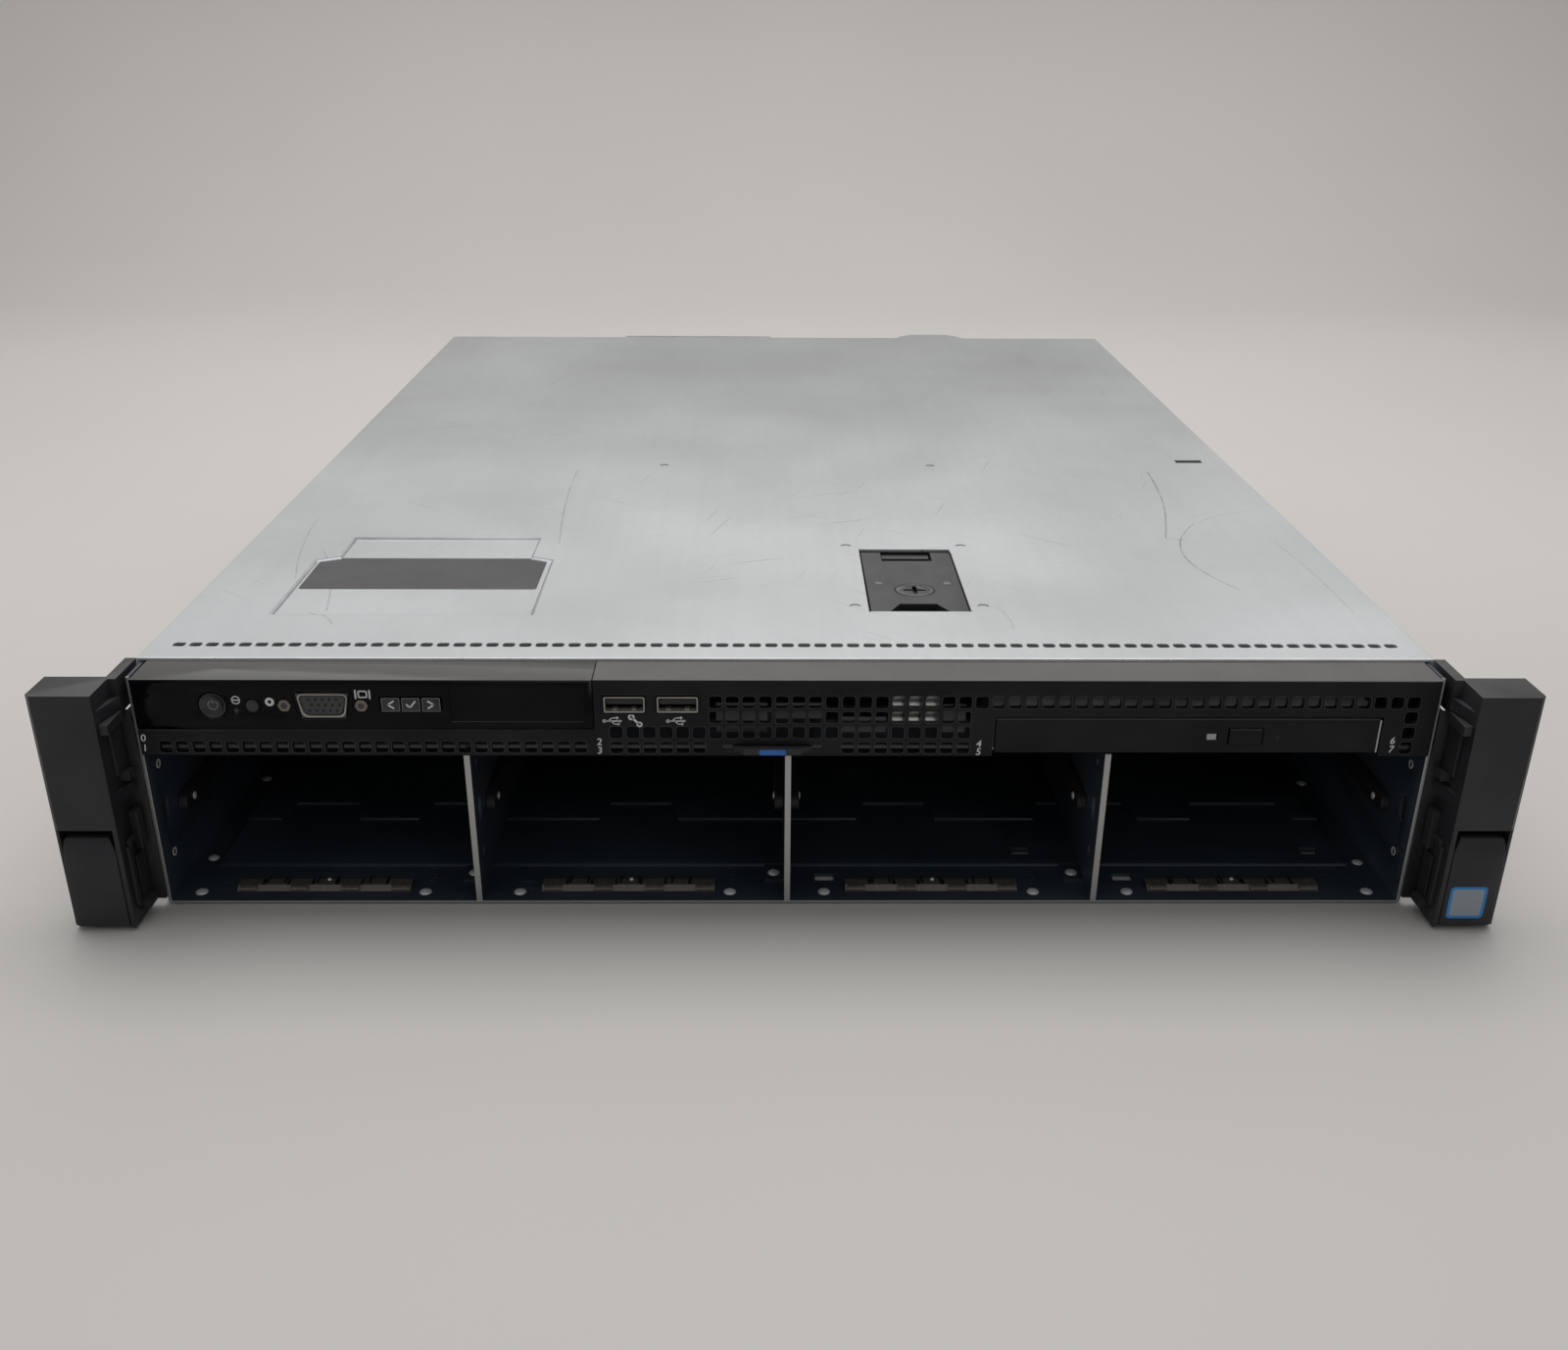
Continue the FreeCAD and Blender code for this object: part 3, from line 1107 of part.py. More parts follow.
def eject_button():
    piece = Piece("eject_button")
    middle = S["disc_x"] + S["eject_x"]
    wide = S["eject_width"] / 2
    tall = S["eject_height"] / 2
    front = disc_face - S["eject_proud"]
    back = disc_face + S["disc_bezel"] - S["seam"]
    piece.add("XZ", front, back - S["eject_travel"] - front,
              rect(middle - wide, middle + wide, eject_z - tall, eject_z + tall))


def disc_hub():
    piece = Piece("disc_hub", (S["disc_x"], hub_y, tray_under + S["disc_steel"] + S["seam"]))
    piece.add("XY", 0, S["hub_height"], disc(0, 0, S["hub_radius"]))


# --------------------------------------------------------------------------- ears and brackets

arm_inner = wall_out + S["bracket_steel"] + S["seam"]
ear_outer = S["ear_span"] / 2
ear_inner = ear_outer - S["ear_width"]
ear_front = -S["ear_reach"]
ear_back = -S["bracket_steel"] - S["seam"]
cover_low = S["latch_plate_top"] + S["latch_recess"]
plate_inner = ear_inner + S["latch_plate_margin"]
plate_low = S["ear_bottom"] + S["seam"]
plate_back = ear_front + S["latch_plate_thickness"]
plate_outer = ear_outer - S["ear_edge"] - S["seam"]
grip_bend = S["latch_plate_top"] - S["latch_grip_height"]
hook_x = S["rack_hole_spacing"] / 2
hook_low = S["latch_plate_top"] / 2 - S["latch_arm_width"] / 2


def sided(label, side):
    """Gives a drawing function that turns outlines over for the left side."""
    piece = Piece(label)
    turn = mirrored if side < 0 else (lambda outline: outline)
    return piece, turn


def ear(label, side):
    piece, turn = sided(label, side)
    wall = S["ear_wall"]
    corner = S["ear_corner"]
    shell = [(ear_inner, ear_back), (ear_inner, ear_front), (ear_outer - corner, ear_front),
             (ear_outer, ear_front + corner), (ear_outer, ear_back), (ear_outer - wall, ear_back),
             (ear_outer - wall, ear_front + wall), (ear_inner + wall, ear_front + wall),
             (ear_inner + wall, ear_back)]
    piece.add("XY", cover_low, S["ear_top"] - cover_low, turn(shell))
    inboard = rect(ear_inner, plate_inner - S["seam"], ear_front, ear_back)
    piece.add("XY", S["ear_bottom"], cover_low - S["ear_bottom"], turn(inboard))
    roof = rect(ear_inner, ear_outer - wall, ear_front + wall, ear_back)
    piece.add("XY", S["ear_top"] - wall, wall, turn(roof))
    piece.add("XY", cover_low, wall, turn(roof))
    edge = rect(ear_outer - S["ear_edge"], ear_outer, ear_front + corner, ear_back)
    piece.add("XY", S["ear_bottom"], cover_low - S["ear_bottom"], turn(edge))
    recess = rect(plate_inner - wall / 2, ear_outer - S["ear_edge"] / 2,
                  plate_back + S["latch_scoop"] + S["finger_gap"], ear_back)
    piece.add("XY", grip_bend + S["latch_rise"] + 2 * S["seam"],
              cover_low + wall / 2 - grip_bend - S["latch_rise"] - 2 * S["seam"], turn(recess))
    arm = rect(arm_inner, ear_inner + wall / 2, ear_back - wall, S["ear_arm"])
    piece.add("XY", S["bracket_top"] + S["seam"], S["ear_top"] - S["bracket_top"] - S["seam"], turn(arm))
    web = rect(plate_inner - wall, ear_outer - S["ear_edge"] / 2, ear_back - wall, ear_back)
    piece.add("XY", S["ear_bottom"], hook_low - S["ear_bottom"] - S["seam"], turn(web))
    for low in (S["clip_low"], S["clip_high"]):
        tooth = [(ear_inner, ear_front + wall), (ear_inner, ear_back - wall),
                 (ear_inner - S["clip_reach"], ear_back - wall)]
        piece.add("XY", low, S["clip_height"], turn(tooth))


def rack_bracket(label, side):
    piece, turn = sided(label, side)
    steel = S["bracket_steel"]
    flange = ear_outer - S["ear_wall"]
    section = [(wall_out, -steel), (flange, -steel), (flange, 0), (wall_out + steel, 0),
               (wall_out + steel, S["bracket_leg"]), (wall_out, S["bracket_leg"])]
    piece.add("XY", S["bracket_bottom"], S["bracket_top"] - S["bracket_bottom"], turn(section))
    window = rect(hook_x - S["latch_arm_width"] / 2 - 2 * S["seam"],
                  hook_x + S["latch_arm_width"] / 2 + 2 * S["seam"],
                  hook_low - S["latch_hook"] - S["seam"],
                  hook_low + S["latch_arm_width"] + S["latch_rise"] + S["seam"])
    piece.cut("XZ", -steel, steel, turn(window), turn(disc(hook_x, S["rack_hole_z"],
                                                           S["rack_hole_radius"])))


def slam_latch(label, side):
    piece, turn = sided(label, side)
    top = S["latch_plate_top"]
    scoop = S["latch_scoop"]
    thick = S["latch_plate_thickness"]
    inner = plate_inner if side > 0 else -plate_outer
    profile = [(ear_front, plate_low), (ear_front, grip_bend),
               (ear_front + scoop / 3, (grip_bend + top) / 2), (ear_front + scoop, top),
               (ear_front + scoop + thick, top), (plate_back, grip_bend), (plate_back, plate_low)]
    piece.add("YZ", inner, plate_outer - plate_inner, profile)
    cant = S["latch_cant_outer"]
    corners = [[(plate_inner, top - S["latch_cant_tall"]), (plate_inner, top),
                (plate_inner + S["latch_cant_wide"], top)],
               [(plate_outer - cant, top), (plate_outer, top), (plate_outer, top - cant)]]
    piece.cut("XZ", ear_front, scoop + thick, *[turn(corner) for corner in corners])
    side_wall = rect(plate_outer - S["ear_wall"], plate_outer, plate_low, grip_bend)
    piece.add("XZ", ear_front + thick / 2,
              ear_back - S["ear_wall"] - S["seam"] - ear_front - thick / 2, turn(side_wall))
    arm = rect(hook_x - S["latch_arm_width"] / 2, hook_x + S["latch_arm_width"] / 2,
               hook_low, hook_low + S["latch_arm_width"])
    reach = S["latch_hook"] + S["seam"]
    piece.add("XZ", plate_back, reach - plate_back, turn(arm))
    tip = rect(hook_x - S["latch_arm_width"] / 2, hook_x + S["latch_arm_width"] / 2,
               hook_low - S["latch_hook"], hook_low)
    piece.add("XZ", S["seam"], S["latch_hook"], turn(tip))


def rail_studs():
    """Headed studs for the inner rails, four on each side wall."""
    piece = Piece("rail_studs")
    places = [(S["stud_first"] + S["stud_pitch"] * step, S["stud_z"]) for step in range(4)]
    flats = S["head_flats"]
    shanks = [polygon(along, up, S["stud_radius"], flats) for along, up in places]
    heads = [polygon(along, up, S["stud_head"], flats) for along, up in places]
    shoulder = wall_out + S["stud_shank"]
    piece.add("YZ", wall_out, S["stud_shank"], *shanks)
    piece.add("YZ", shoulder, S["stud_head_height"], *heads)
    piece.add("YZ", -shoulder, S["stud_shank"], *shanks)
    piece.add("YZ", -shoulder - S["stud_head_height"], S["stud_head_height"], *heads)


# ---------------------------------------------------------------------------- cover and latch

def top_cover():
    piece = Piece("top_cover")
    front = S["cover_front"]
    top = S["chassis_height"]
    gauge = S["cover_steel"]
    depth = cover_back - front
    section = [(-half, top - S["cover_flange"]), (-half + gauge, top - S["cover_flange"]),
               (-half + gauge, cover_under), (half - gauge, cover_under),
               (half - gauge, top - S["cover_flange"]), (half, top - S["cover_flange"]),
               (half, top), (-half, top)]
    piece.add("XZ", front, depth, section)
    inset = S["cover_lip_inset"]
    piece.add("XZ", front, gauge,
              rect(-half + inset, half - inset, top - S["cover_lip"] - gauge, cover_under))
    reach = S["tab_reach"]
    tab_left = S["tab_x"] - S["tab_width"] / 2
    tab_right = S["tab_x"] + S["tab_width"] / 2
    corner = S["tab_corner"]
    piece.add("XY", cover_under, gauge,
              [(tab_left, cover_back), (tab_right, cover_back), (tab_right, cover_back + reach - corner),
               (tab_right - corner, cover_back + reach), (tab_left + corner, cover_back + reach),
               (tab_left, cover_back + reach - corner)])
    wide = S["pocket_left"] - S["pocket_width"]
    near_edge = front + S["pocket_front"]
    step = near_edge + S["pocket_wide_depth"]
    far = step + S["pocket_narrow_depth"]

    def label_pocket(grow):
        inner = S["pocket_inset"] - grow
        return [(-S["pocket_left"] - grow, near_edge - grow), (-wide + grow, near_edge - grow),
                (-wide + grow, step + grow), (-wide - inner, step + grow + inner / 2),
                (-wide - inner, far + grow), (-S["pocket_left"] + inner, far + grow),
                (-S["pocket_left"] + inner, step + grow + inner / 2),
                (-S["pocket_left"] - grow, step + grow)]

    piece.add("XY", cover_under - S["pocket_sink"], S["pocket_sink"], label_pocket(gauge))
    piece.cut("XY", top - S["pocket_sink"], S["pocket_sink"], label_pocket(size_of(0)))
    hook = front + S["hook_setback"]
    piece.cut("XY", cover_under, gauge, rect(latch_left, latch_right, latch_near, latch_far),
              rect(S["hook_x"] - S["hook_width"] / 2, S["hook_x"] + S["hook_width"] / 2,
                   hook, hook + S["hook_depth"]))
    dimple = front + S["dimple_setback"]
    beside = S["dimple_beside"]
    piece.cut("XY", top - S["dimple_sink"], S["dimple_sink"],
              *[polygon(across, along, S["dimple_radius"], S["head_flats"]) for across, along in (
                  (latch_left - beside, latch_near + S["dimple_near"]),
                  (latch_right + beside, latch_near + S["dimple_near"]),
                  (latch_left - beside, latch_far + beside), (latch_right + beside, latch_far + beside),
                  (latch_left - S["dimple_wide"], dimple), (latch_right + beside, dimple))])
    left = -S["vent_pitch"] * (S["vent_count"] - 1) / 2
    along = front + S["vent_setback"]
    hole = piece.cut("XY", cover_under, gauge,
                     rect(left - S["vent_width"] / 2, left + S["vent_width"] / 2,
                          along, along + S["vent_depth"]))
    piece.row(hole, "X", S["vent_pitch"], S["vent_count"])


def latch_pan():
    piece = Piece("latch_pan")
    wall = S["pan_wall"]
    flange = S["pan_flange"]
    low = S["chassis_height"] - S["pan_depth"]
    piece.add("XY", low, cover_under - low,
              rect(latch_left - wall, latch_right + wall, latch_near - wall, latch_far + wall))
    piece.add("XY", cover_under - wall, wall,
              rect(latch_left - flange, latch_right + flange, latch_near - flange, latch_far + flange))
    piece.cut("XY", low + wall, cover_under - low,
              rect(latch_left, latch_right, latch_near, latch_far))
    knuckle = S["lever_notch_width"] / 2 - S["lever_gap"]
    piece.add("XY", low + wall, pin_z + S["pin_radius"] - low,
              rect(S["latch_x"] - knuckle, S["latch_x"] + knuckle,
                   pin_y - 2 * S["pin_radius"], pin_y + 2 * S["pin_radius"]))
    piece.add("YZ", latch_left, S["latch_width"],
              polygon(pin_y, pin_z, S["pin_radius"], S["fastener_flats"]))


lever_left = latch_left + S["lever_gap"]
lever_right = latch_right - S["lever_gap"]
lever_top = S["chassis_height"] - S["lever_sink"]
lever_under = lever_top - S["lever_thickness"]
lever_near = latch_near + S["lever_gap"]
lever_far = pin_y + S["pin_radius"]


def cover_latch():
    piece = Piece("cover_latch")
    notch = S["lever_notch_width"] / 2
    grip = S["grip_width"] / 2
    middle = S["latch_x"]
    outline = [(lever_left, lever_near), (middle - grip, lever_near),
               (middle - grip + S["grip_depth"] / 2, lever_near + S["grip_depth"]),
               (middle + grip - S["grip_depth"] / 2, lever_near + S["grip_depth"]),
               (middle + grip, lever_near), (lever_right, lever_near), (lever_right, lever_far),
               (middle + notch, lever_far), (middle + notch, lever_far - S["lever_notch_depth"]),
               (middle - notch, lever_far - S["lever_notch_depth"]),
               (middle - notch, lever_far), (lever_left, lever_far)]
    piece.add("XY", lever_under, S["lever_thickness"], outline)
    for low, high in ((lever_left, middle - notch), (middle + notch, lever_right)):
        piece.add("YZ", low, high - low, disc(pin_y, pin_z, S["barrel_radius"]))
    rib = S["lever_rib"]
    for low in (lever_left, lever_right - rib):
        piece.add("YZ", low, rib,
                  [(lever_near + S["grip_depth"], lever_under), (pin_y, pin_z - S["barrel_radius"]),
                   (pin_y, lever_under)])
    piece.cut("YZ", lever_left, lever_right - lever_left,
              polygon(pin_y, pin_z, S["pin_radius"] + S["pin_fit"], S["fastener_flats"]))
    piece.cut("XY", lever_under, S["lever_thickness"],
              polygon(middle, lock_y, S["lock_radius"] + 1.3 * S["seam"], S["ring_flats"]))


def latch_lock():
    piece = Piece("latch_lock", (S["latch_x"], lock_y, lever_under - S["lock_thickness"] - S["seam"]))
    low = S["lock_thickness"] + S["seam"]
    piece.add("XY", 0, S["lock_thickness"],
              polygon(0, 0, S["lock_radius"] + S["lock_lip"], S["fastener_flats"]))
    piece.add("XY", 0, low + S["lever_thickness"], disc(0, 0, S["lock_radius"]))
    long = S["lock_slot_length"] / 2
    short = S["lock_slot"] / 2
    cross = [rect(-long, long, -short, short)]
    piece.cut("XY", low + S["lever_thickness"] - S["lock_thickness"], S["lock_thickness"], *cross)
    piece.cut("XY", low + S["lever_thickness"] - S["lock_thickness"], S["lock_thickness"],
              rect(-short, short, -long, long))


# --------------------------------------------------------------------------------------- fans

fan_axis_z = floor_top + S["seam"] + S["fan_size"] / 2


def fan_middle(number):
    """Distance of a fan's axis from the middle of the unit."""
    return S["fan_pitch"] * (number - 2.5)


def fan_frame(number):
    piece = Piece(f"fan_frame_{number}", (fan_middle(number), S["fan_front"], fan_axis_z))
    size = S["fan_size"]
    depth = S["fan_depth"]
    motor = S["fan_strut_depth"]
    flats = S["fan_flats"]
    piece.add("XZ", 0, depth, square(size_of(0), size_of(0), size))
    piece.cut("XZ", 0, depth, polygon(0, 0, S["fan_bore"], flats))
    piece.add("XZ", depth - motor, motor, polygon(0, 0, S["fan_hub"], flats))
    strut = S["fan_strut"] / 2
    arms = piece.add("XZ", depth - motor, motor,
                     rect(S["fan_hub"] - strut, (S["fan_bore"] + size / 2) / 2, -strut, strut))
    piece.ring(arms, "Y", S["fan_struts"])


def fan_rotor(number):
    """Hub with slanted blades, which runs a seam in front of the motor."""
    piece = Piece(f"fan_rotor_{number}", (fan_middle(number), S["fan_front"], fan_axis_z))
    front = S["fan_inset"]
    hub = S["fan_hub"]
    reach = S["blade_half_chord"]
    thick = S["blade_thickness"]
    back = S["fan_depth"] - S["fan_strut_depth"] - S["seam"]
    piece.add("XZ", front, back - front, polygon(0, 0, hub, S["fan_flats"]))
    piece.add("XZ", front - S["fan_boss_height"], S["fan_boss_height"], disc(0, 0, S["fan_boss"]))
    blade = [(-reach, front + thick), (-reach + thick, front + thick),
             (reach, back - thick), (reach - thick, back - thick)]
    vane = piece.add("XY", hub * 0.9, S["fan_tip"] - S["blade_round"] - hub * 0.9, blade)
    piece.ring(vane, "Y", S["fan_blades"])


# ------------------------------------------------------------------- system board and cooling

def memory_rows():
    """Left edges of the memory modules in both banks."""
    rows = [-S["bank_left"] + S["module_pitch"] * step for step in range(4)]
    rows += [S["bank_right"] + S["module_pitch"] * step for step in range(6)]
    return rows


def system_board():
    """The board on its six-sided standoffs."""
    piece = Piece("system_board")
    piece.add("XY", main_under, S["board_thickness"],
              rect(-S["main_left"], S["main_right"], S["main_front"], S["main_back"]))
    inset = S["standoff_inset"]
    posts = []
    for across in (-(S["main_left"] - inset), S["main_right"] - inset,
                   -(S["main_left"] - S["main_right"]) / 2):
        for along in (S["main_front"] + inset, (S["main_front"] + S["main_back"]) / 2,
                      S["main_back"] - 3 * inset):
            posts.append(polygon(across, along, S["standoff_radius"], 6))
    piece.add("XY", floor_top, S["standoff_height"], *posts)
    sockets = []
    for middle in (-S["sink_left"], -S["sink_right"]):
        sockets.append(square(middle, S["sink_y"], S["socket_size"]))
    piece.add("XY", main_top, S["socket_height"], *sockets)
    slot = S["module_slot"]
    near_end = S["sink_y"] - S["module_length"] / 2
    holders = [rect(left - slot, left + S["module_thickness"] + slot, near_end - slot,
                    near_end + S["module_length"] + slot) for left in memory_rows()]
    piece.add("XY", main_top, S["module_seat"], *holders)
    piece.add("XY", main_top, S["module_seat"],
              rect(S["riser_x"] - 2 * slot, S["riser_x"] + S["board_thickness"] + 2 * slot,
                   S["riser_front"] + S["riser_margin"],
                   S["riser_front"] + S["riser_depth"] - S["riser_margin"]))
    chip = S["chip_size"]
    piece.add("XY", main_top, S["chip_height"],
              square(-S["sink_left"], S["riser_front"] + S["riser_margin"], chip),
              square(-S["sink_right"] - chip, S["riser_front"], chip),
              square(S["riser_x"] + 1.5 * chip, S["riser_front"] + chip, chip))


def heat_sink(number, middle):
    piece = Piece(f"heat_sink_{number}")
    low = main_top + S["socket_height"] + S["seam"]
    side = S["sink_size"]
    piece.add("XY", low, S["sink_base"], square(middle, S["sink_y"], side))
    left = middle - side / 2
    near_end = S["sink_y"] - side / 2
    fin = piece.add("XY", low + S["sink_base"], S["sink_height"] - S["sink_base"],
                    rect(left, left + S["fin_thickness"], near_end, near_end + side))
    piece.row(fin, "X", (side - S["fin_thickness"]) / (S["sink_fins"] - 1), S["sink_fins"])


def memory_modules():
    piece = Piece("memory_modules")
    low = main_top + S["module_seat"] + S["seam"]
    near_end = S["sink_y"] - S["module_length"] / 2
    modules = [rect(left, left + S["module_thickness"], near_end, near_end + S["module_length"])
               for left in memory_rows()]
    piece.add("XY", low, S["module_height"], *modules)


def air_shroud():
    piece = Piece("air_shroud")
    wall = S["shroud_wall"]
    left = -S["main_left"] - wall + S["seam"]
    right = S["main_right"] - S["shroud_inset"]
    low = main_top + S["seam"]
    top = S["shroud_top"]
    foot = S["shroud_foot"]
    section = [(left, low), (left + wall, low), (left + wall, top - wall - foot),
               (left + wall + foot, top - wall), (right - wall - foot, top - wall),
               (right - wall, top - wall - foot), (right - wall, low), (right, low),
               (right, top - foot), (right - foot, top), (left + foot, top), (left, top - foot)]
    piece.add("XZ", S["shroud_front"] + wall, S["shroud_depth"], section)
    middle = -(S["sink_left"] + S["sink_right"]) / 2
    fin = rect(middle - wall / 2, middle + wall / 2, low, top - wall / 2)
    piece.add("XZ", S["shroud_front"] + wall, S["shroud_depth"], fin)


def expansion_riser():
    piece = Piece("expansion_riser")
    low = main_top + S["module_seat"] + S["seam"]
    front = S["riser_front"]
    piece.add("YZ", S["riser_x"], S["board_thickness"],
              rect(front, front + S["riser_depth"], low, S["riser_top"]))
    slots = []
    for slot in card_slots()[:3]:
        middle = (slot[2] + slot[3]) / 2
        slots.append(rect(front + S["riser_margin"], front + S["riser_depth"] - S["riser_margin"],
                          middle - S["module_slot"] * 2, middle + S["module_slot"] * 2))
    reach = S["riser_socket"]
    piece.add("YZ", S["riser_x"] - reach, reach, *slots)


# ------------------------------------------------------------------------------- rear wall

def card_slots():
    """Left, right, low and high edges of the card slots, full height ones first."""
    slots = []
    for left, width, lowest, count in ((-S["slot_left"], S["slot_width"], 0, 3),
                                       (-S["low_slot_left"], S["low_slot_width"], 1, 2)):
        for step in range(count):
            low = S["slot_bottom"] + S["slot_pitch"] * (lowest + step)
            slots.append((left, left + width, low, low + S["slot_height"]))
    return slots


port_low = main_top + S["seam"]
port_top = port_low + S["port_height"]
port_back = rear_out - S["seam"]


def ports():
    """Left and right edges of the sockets in the row above the board, with their kind."""
    row = []
    left = -S["port_row_left"]
    for width in (S["serial_width"], S["display_width"], S["bus_width"], S["bus_width"],
                  S["jack_width"], S["jack_width"], S["jack_width"], S["jack_width"]):
        row.append((left, left + width))
        left = left + width + S["port_space"]
    return row


def rear_ports():
    piece = Piece("rear_ports")
    depth = S["rear_port_depth"]
    wall = S["port_wall"]
    row = ports()
    piece.add("XZ", port_back - depth, depth,
              *[rect(port[0], port[1], port_low, port_top) for port in row])
    piece.cut("XZ", port_back - depth * 0.8, depth * 0.8,
              *[rect(port[0] + wall, port[1] - wall, port_low + wall, port_top - wall)
                for port in row[2:]])
    for port in row[:2]:
        edge = S["port_height"] / 4
        piece.cut("XZ", port_back - depth * 0.4, depth * 0.4,
                  [(port[0] + edge, port_low + wall), (port[1] - edge, port_low + wall),
                   (port[1] - wall, port_top - wall), (port[0] + wall, port_top - wall)])


def slot_covers():
    piece = Piece("slot_covers")
    margin = S["slot_margin"]
    back = rear_in - S["seam"]
    gauge = S["cage_steel"]
    piece.add("XZ", back - gauge, gauge,
              *[rect(left - margin, right + margin, low - margin, high + margin)
                for left, right, low, high in card_slots()])
    rise = S["cover_vent"] / 4
    for first, count in ((card_slots()[0], 3), (card_slots()[3], 2)):
        left, right, low, high = first
        pitch = (right - left) / S["cover_vents"]
        middle = (low + high) / 2
        across = left + pitch / 2
        vent = piece.cut("XZ", back - gauge, gauge,
                         rect(across - S["cover_vent"], across + S["cover_vent"],
                              middle - rise, middle + rise))
        piece.row(vent, "X", pitch, S["cover_vents"], "Z", S["slot_pitch"], count)


flap_left = -S["slot_left"]
flap_right = flap_left + S["slot_width"]
flap_pin_z = S["flap_top"] - S["flap_height"]
flap_pin_y = rear_out + S["flap_knuckle"] + S["seam"]


def slot_retainer():
    piece = Piece("slot_retainer")
    gauge = S["flap_gauge"]
    knuckle = S["flap_knuckle"]
    front = rear_out + S["seam"]
    section = [(front, flap_pin_z), (front + gauge, flap_pin_z), (front + gauge, S["flap_top"] - gauge),
               (front + S["flap_reach"], S["flap_top"] - gauge), (front + S["flap_reach"], S["flap_top"]),
               (front, S["flap_top"])]
    piece.add("YZ", flap_left, flap_right - flap_left, section)
    piece.add("YZ", flap_left, flap_right - flap_left, disc(flap_pin_y, flap_pin_z, knuckle))
    piece.cut("YZ", flap_left, flap_right - flap_left,
              polygon(flap_pin_y, flap_pin_z, S["flap_pin"] + S["pin_fit"], S["fastener_flats"]))


# ------------------------------------------------------------------------------ power supplies

supply_front = rear_out - S["supply_depth"]
cage_front = supply_front - S["cage_margin"]


def psu_cage():
    piece = Piece("psu_cage")
    steel = S["cage_steel"]
    right = wall_in - S["seam"]
    outer = supply_left - S["seam"] - steel
    inner = outer + steel
    depth = rear_in - S["seam"] - cage_front
    section = [(outer, floor_top), (inner, floor_top), (inner, shelf_low), (right, shelf_low),
               (right, shelf_low + steel), (inner, shelf_low + steel), (inner, cage_top),
               (right, cage_top), (right, cage_top + steel), (outer, cage_top + steel)]
    piece.add("XZ", cage_front, depth, section)


def power_supply(number):
    low = supply_low if number == 1 else supply_high
    piece = Piece(f"power_supply_{number}", (S["supply_x"], rear_out, low))
    wide = S["supply_width"] / 2
    high = S["supply_height"]
    depth = S["supply_depth"]
    piece.add("XZ", -depth, depth, rect(-wide, wide, 0, high))
    inlet_left = wide - S["inlet_margin"] - S["inlet_width"]
    piece.cut("XZ", -S["inlet_depth"], S["inlet_depth"],
              rect(inlet_left, inlet_left + S["inlet_width"],
                   high / 2 - S["inlet_height"] / 2, high / 2 + S["inlet_height"] / 2))
    grid = square(-wide + S["supply_grid_x"], S["supply_grid_z"], S["supply_hole"])
    vent = piece.cut("XZ", -S["supply_hole"], S["supply_hole"], grid)
    piece.row(vent, "X", S["supply_grid_pitch"], S["supply_grid_columns"],
              "Z", S["supply_grid_pitch"], S["supply_grid_rows"])
    bar = S["handle_bar"]
    left = -wide + S["handle_margin"]
    right = left + S["handle_width"]
    reach = S["handle_reach"]
    grip = [(left, 0), (left + bar, 0), (left + bar, reach - bar), (right - bar, reach - bar),
            (right - bar, 0), (right, 0), (right, reach - bar), (right - bar, reach),
            (left + bar, reach), (left, reach - bar)]
    piece.add("XY", high / 2 - S["handle_height"] / 2, S["handle_height"], grip)
    boss = (supply_latch_x, S["supply_latch_z"])
    piece.add("XZ", 0, S["supply_latch_reach"],
              polygon(boss[0], boss[1], S["pin_radius"], S["fastener_flats"]))


supply_latch_x = S["supply_width"] / 2 - S["supply_latch_inset"]


def supply_latch(number):
    """Release lever that turns on a pin in the face of its supply."""
    low = supply_low if number == 1 else supply_high
    piece = Piece(f"supply_latch_{number}",
                  (S["supply_x"] + supply_latch_x, rear_out, low + S["supply_latch_z"]))
    gap = S["seam"]
    thick = S["supply_latch_thickness"]
    collar = S["supply_latch_collar"]
    piece.add("XZ", gap, thick, disc(0, 0, collar))
    long = S["supply_latch_length"]
    piece.add("XZ", gap, thick,
              rect(-long, 0, -collar, -collar / 3))
    piece.add("XZ", gap, S["supply_latch_grip"],
              rect(-long, -long + thick, -collar, -collar / 3))
    piece.cut("XZ", gap, thick, polygon(0, 0, S["pin_radius"] + S["pin_fit"], S["fastener_flats"]))


# ---------------------------------------------------------------------------------- the build

eject_z = S["disc_bottom"] + S["eject_rise"]


def build():
    chassis_tray()
    rear_panel()
    drive_bay_shelf()
    for number in (1, 2, 3):
        bay_divider(number)
    drive_guides()
    contact_strips()
    floor_rivets()
    backplane()
    drive_connectors()
    front_panel()
    control_panel()
    control_board()
    video_port()
    usb_ports()
    round_button("power_button", -S["power_x"], S["control_z"], S["power_radius"], S["button_proud"])
    round_button("id_button", -S["locate_x"], S["control_z"], S["locate_radius"], S["button_proud"])
    round_button("nmi_button", -S["diagnostic_x"], S["diagnostic_z"], S["diagnostic_radius"],
                 -S["button_proud"])
    menu_button("menu_button_left", -1)
    menu_button("menu_button_select", 0)
    menu_button("menu_button_right", 1)
    information_tag()
    optical_drive()
    disc_tray()
    eject_button()
    disc_hub()
    for name, side in (("left", -1), ("right", 1)):
        ear(f"ear_{name}", side)
        rack_bracket(f"rack_bracket_{name}", side)
        slam_latch(f"slam_latch_{name}", side)
    rail_studs()
    top_cover()
    latch_pan()
    cover_latch()
    latch_lock()
    for number in range(1, 5):
        fan_frame(number)
        fan_rotor(number)
    system_board()
    heat_sink(1, -S["sink_left"])
    heat_sink(2, -S["sink_right"])
    memory_modules()
    air_shroud()
    expansion_riser()
    rear_ports()
    slot_covers()
    slot_retainer()
    psu_cage()
    for number in (1, 2):
        power_supply(number)
        supply_latch(number)


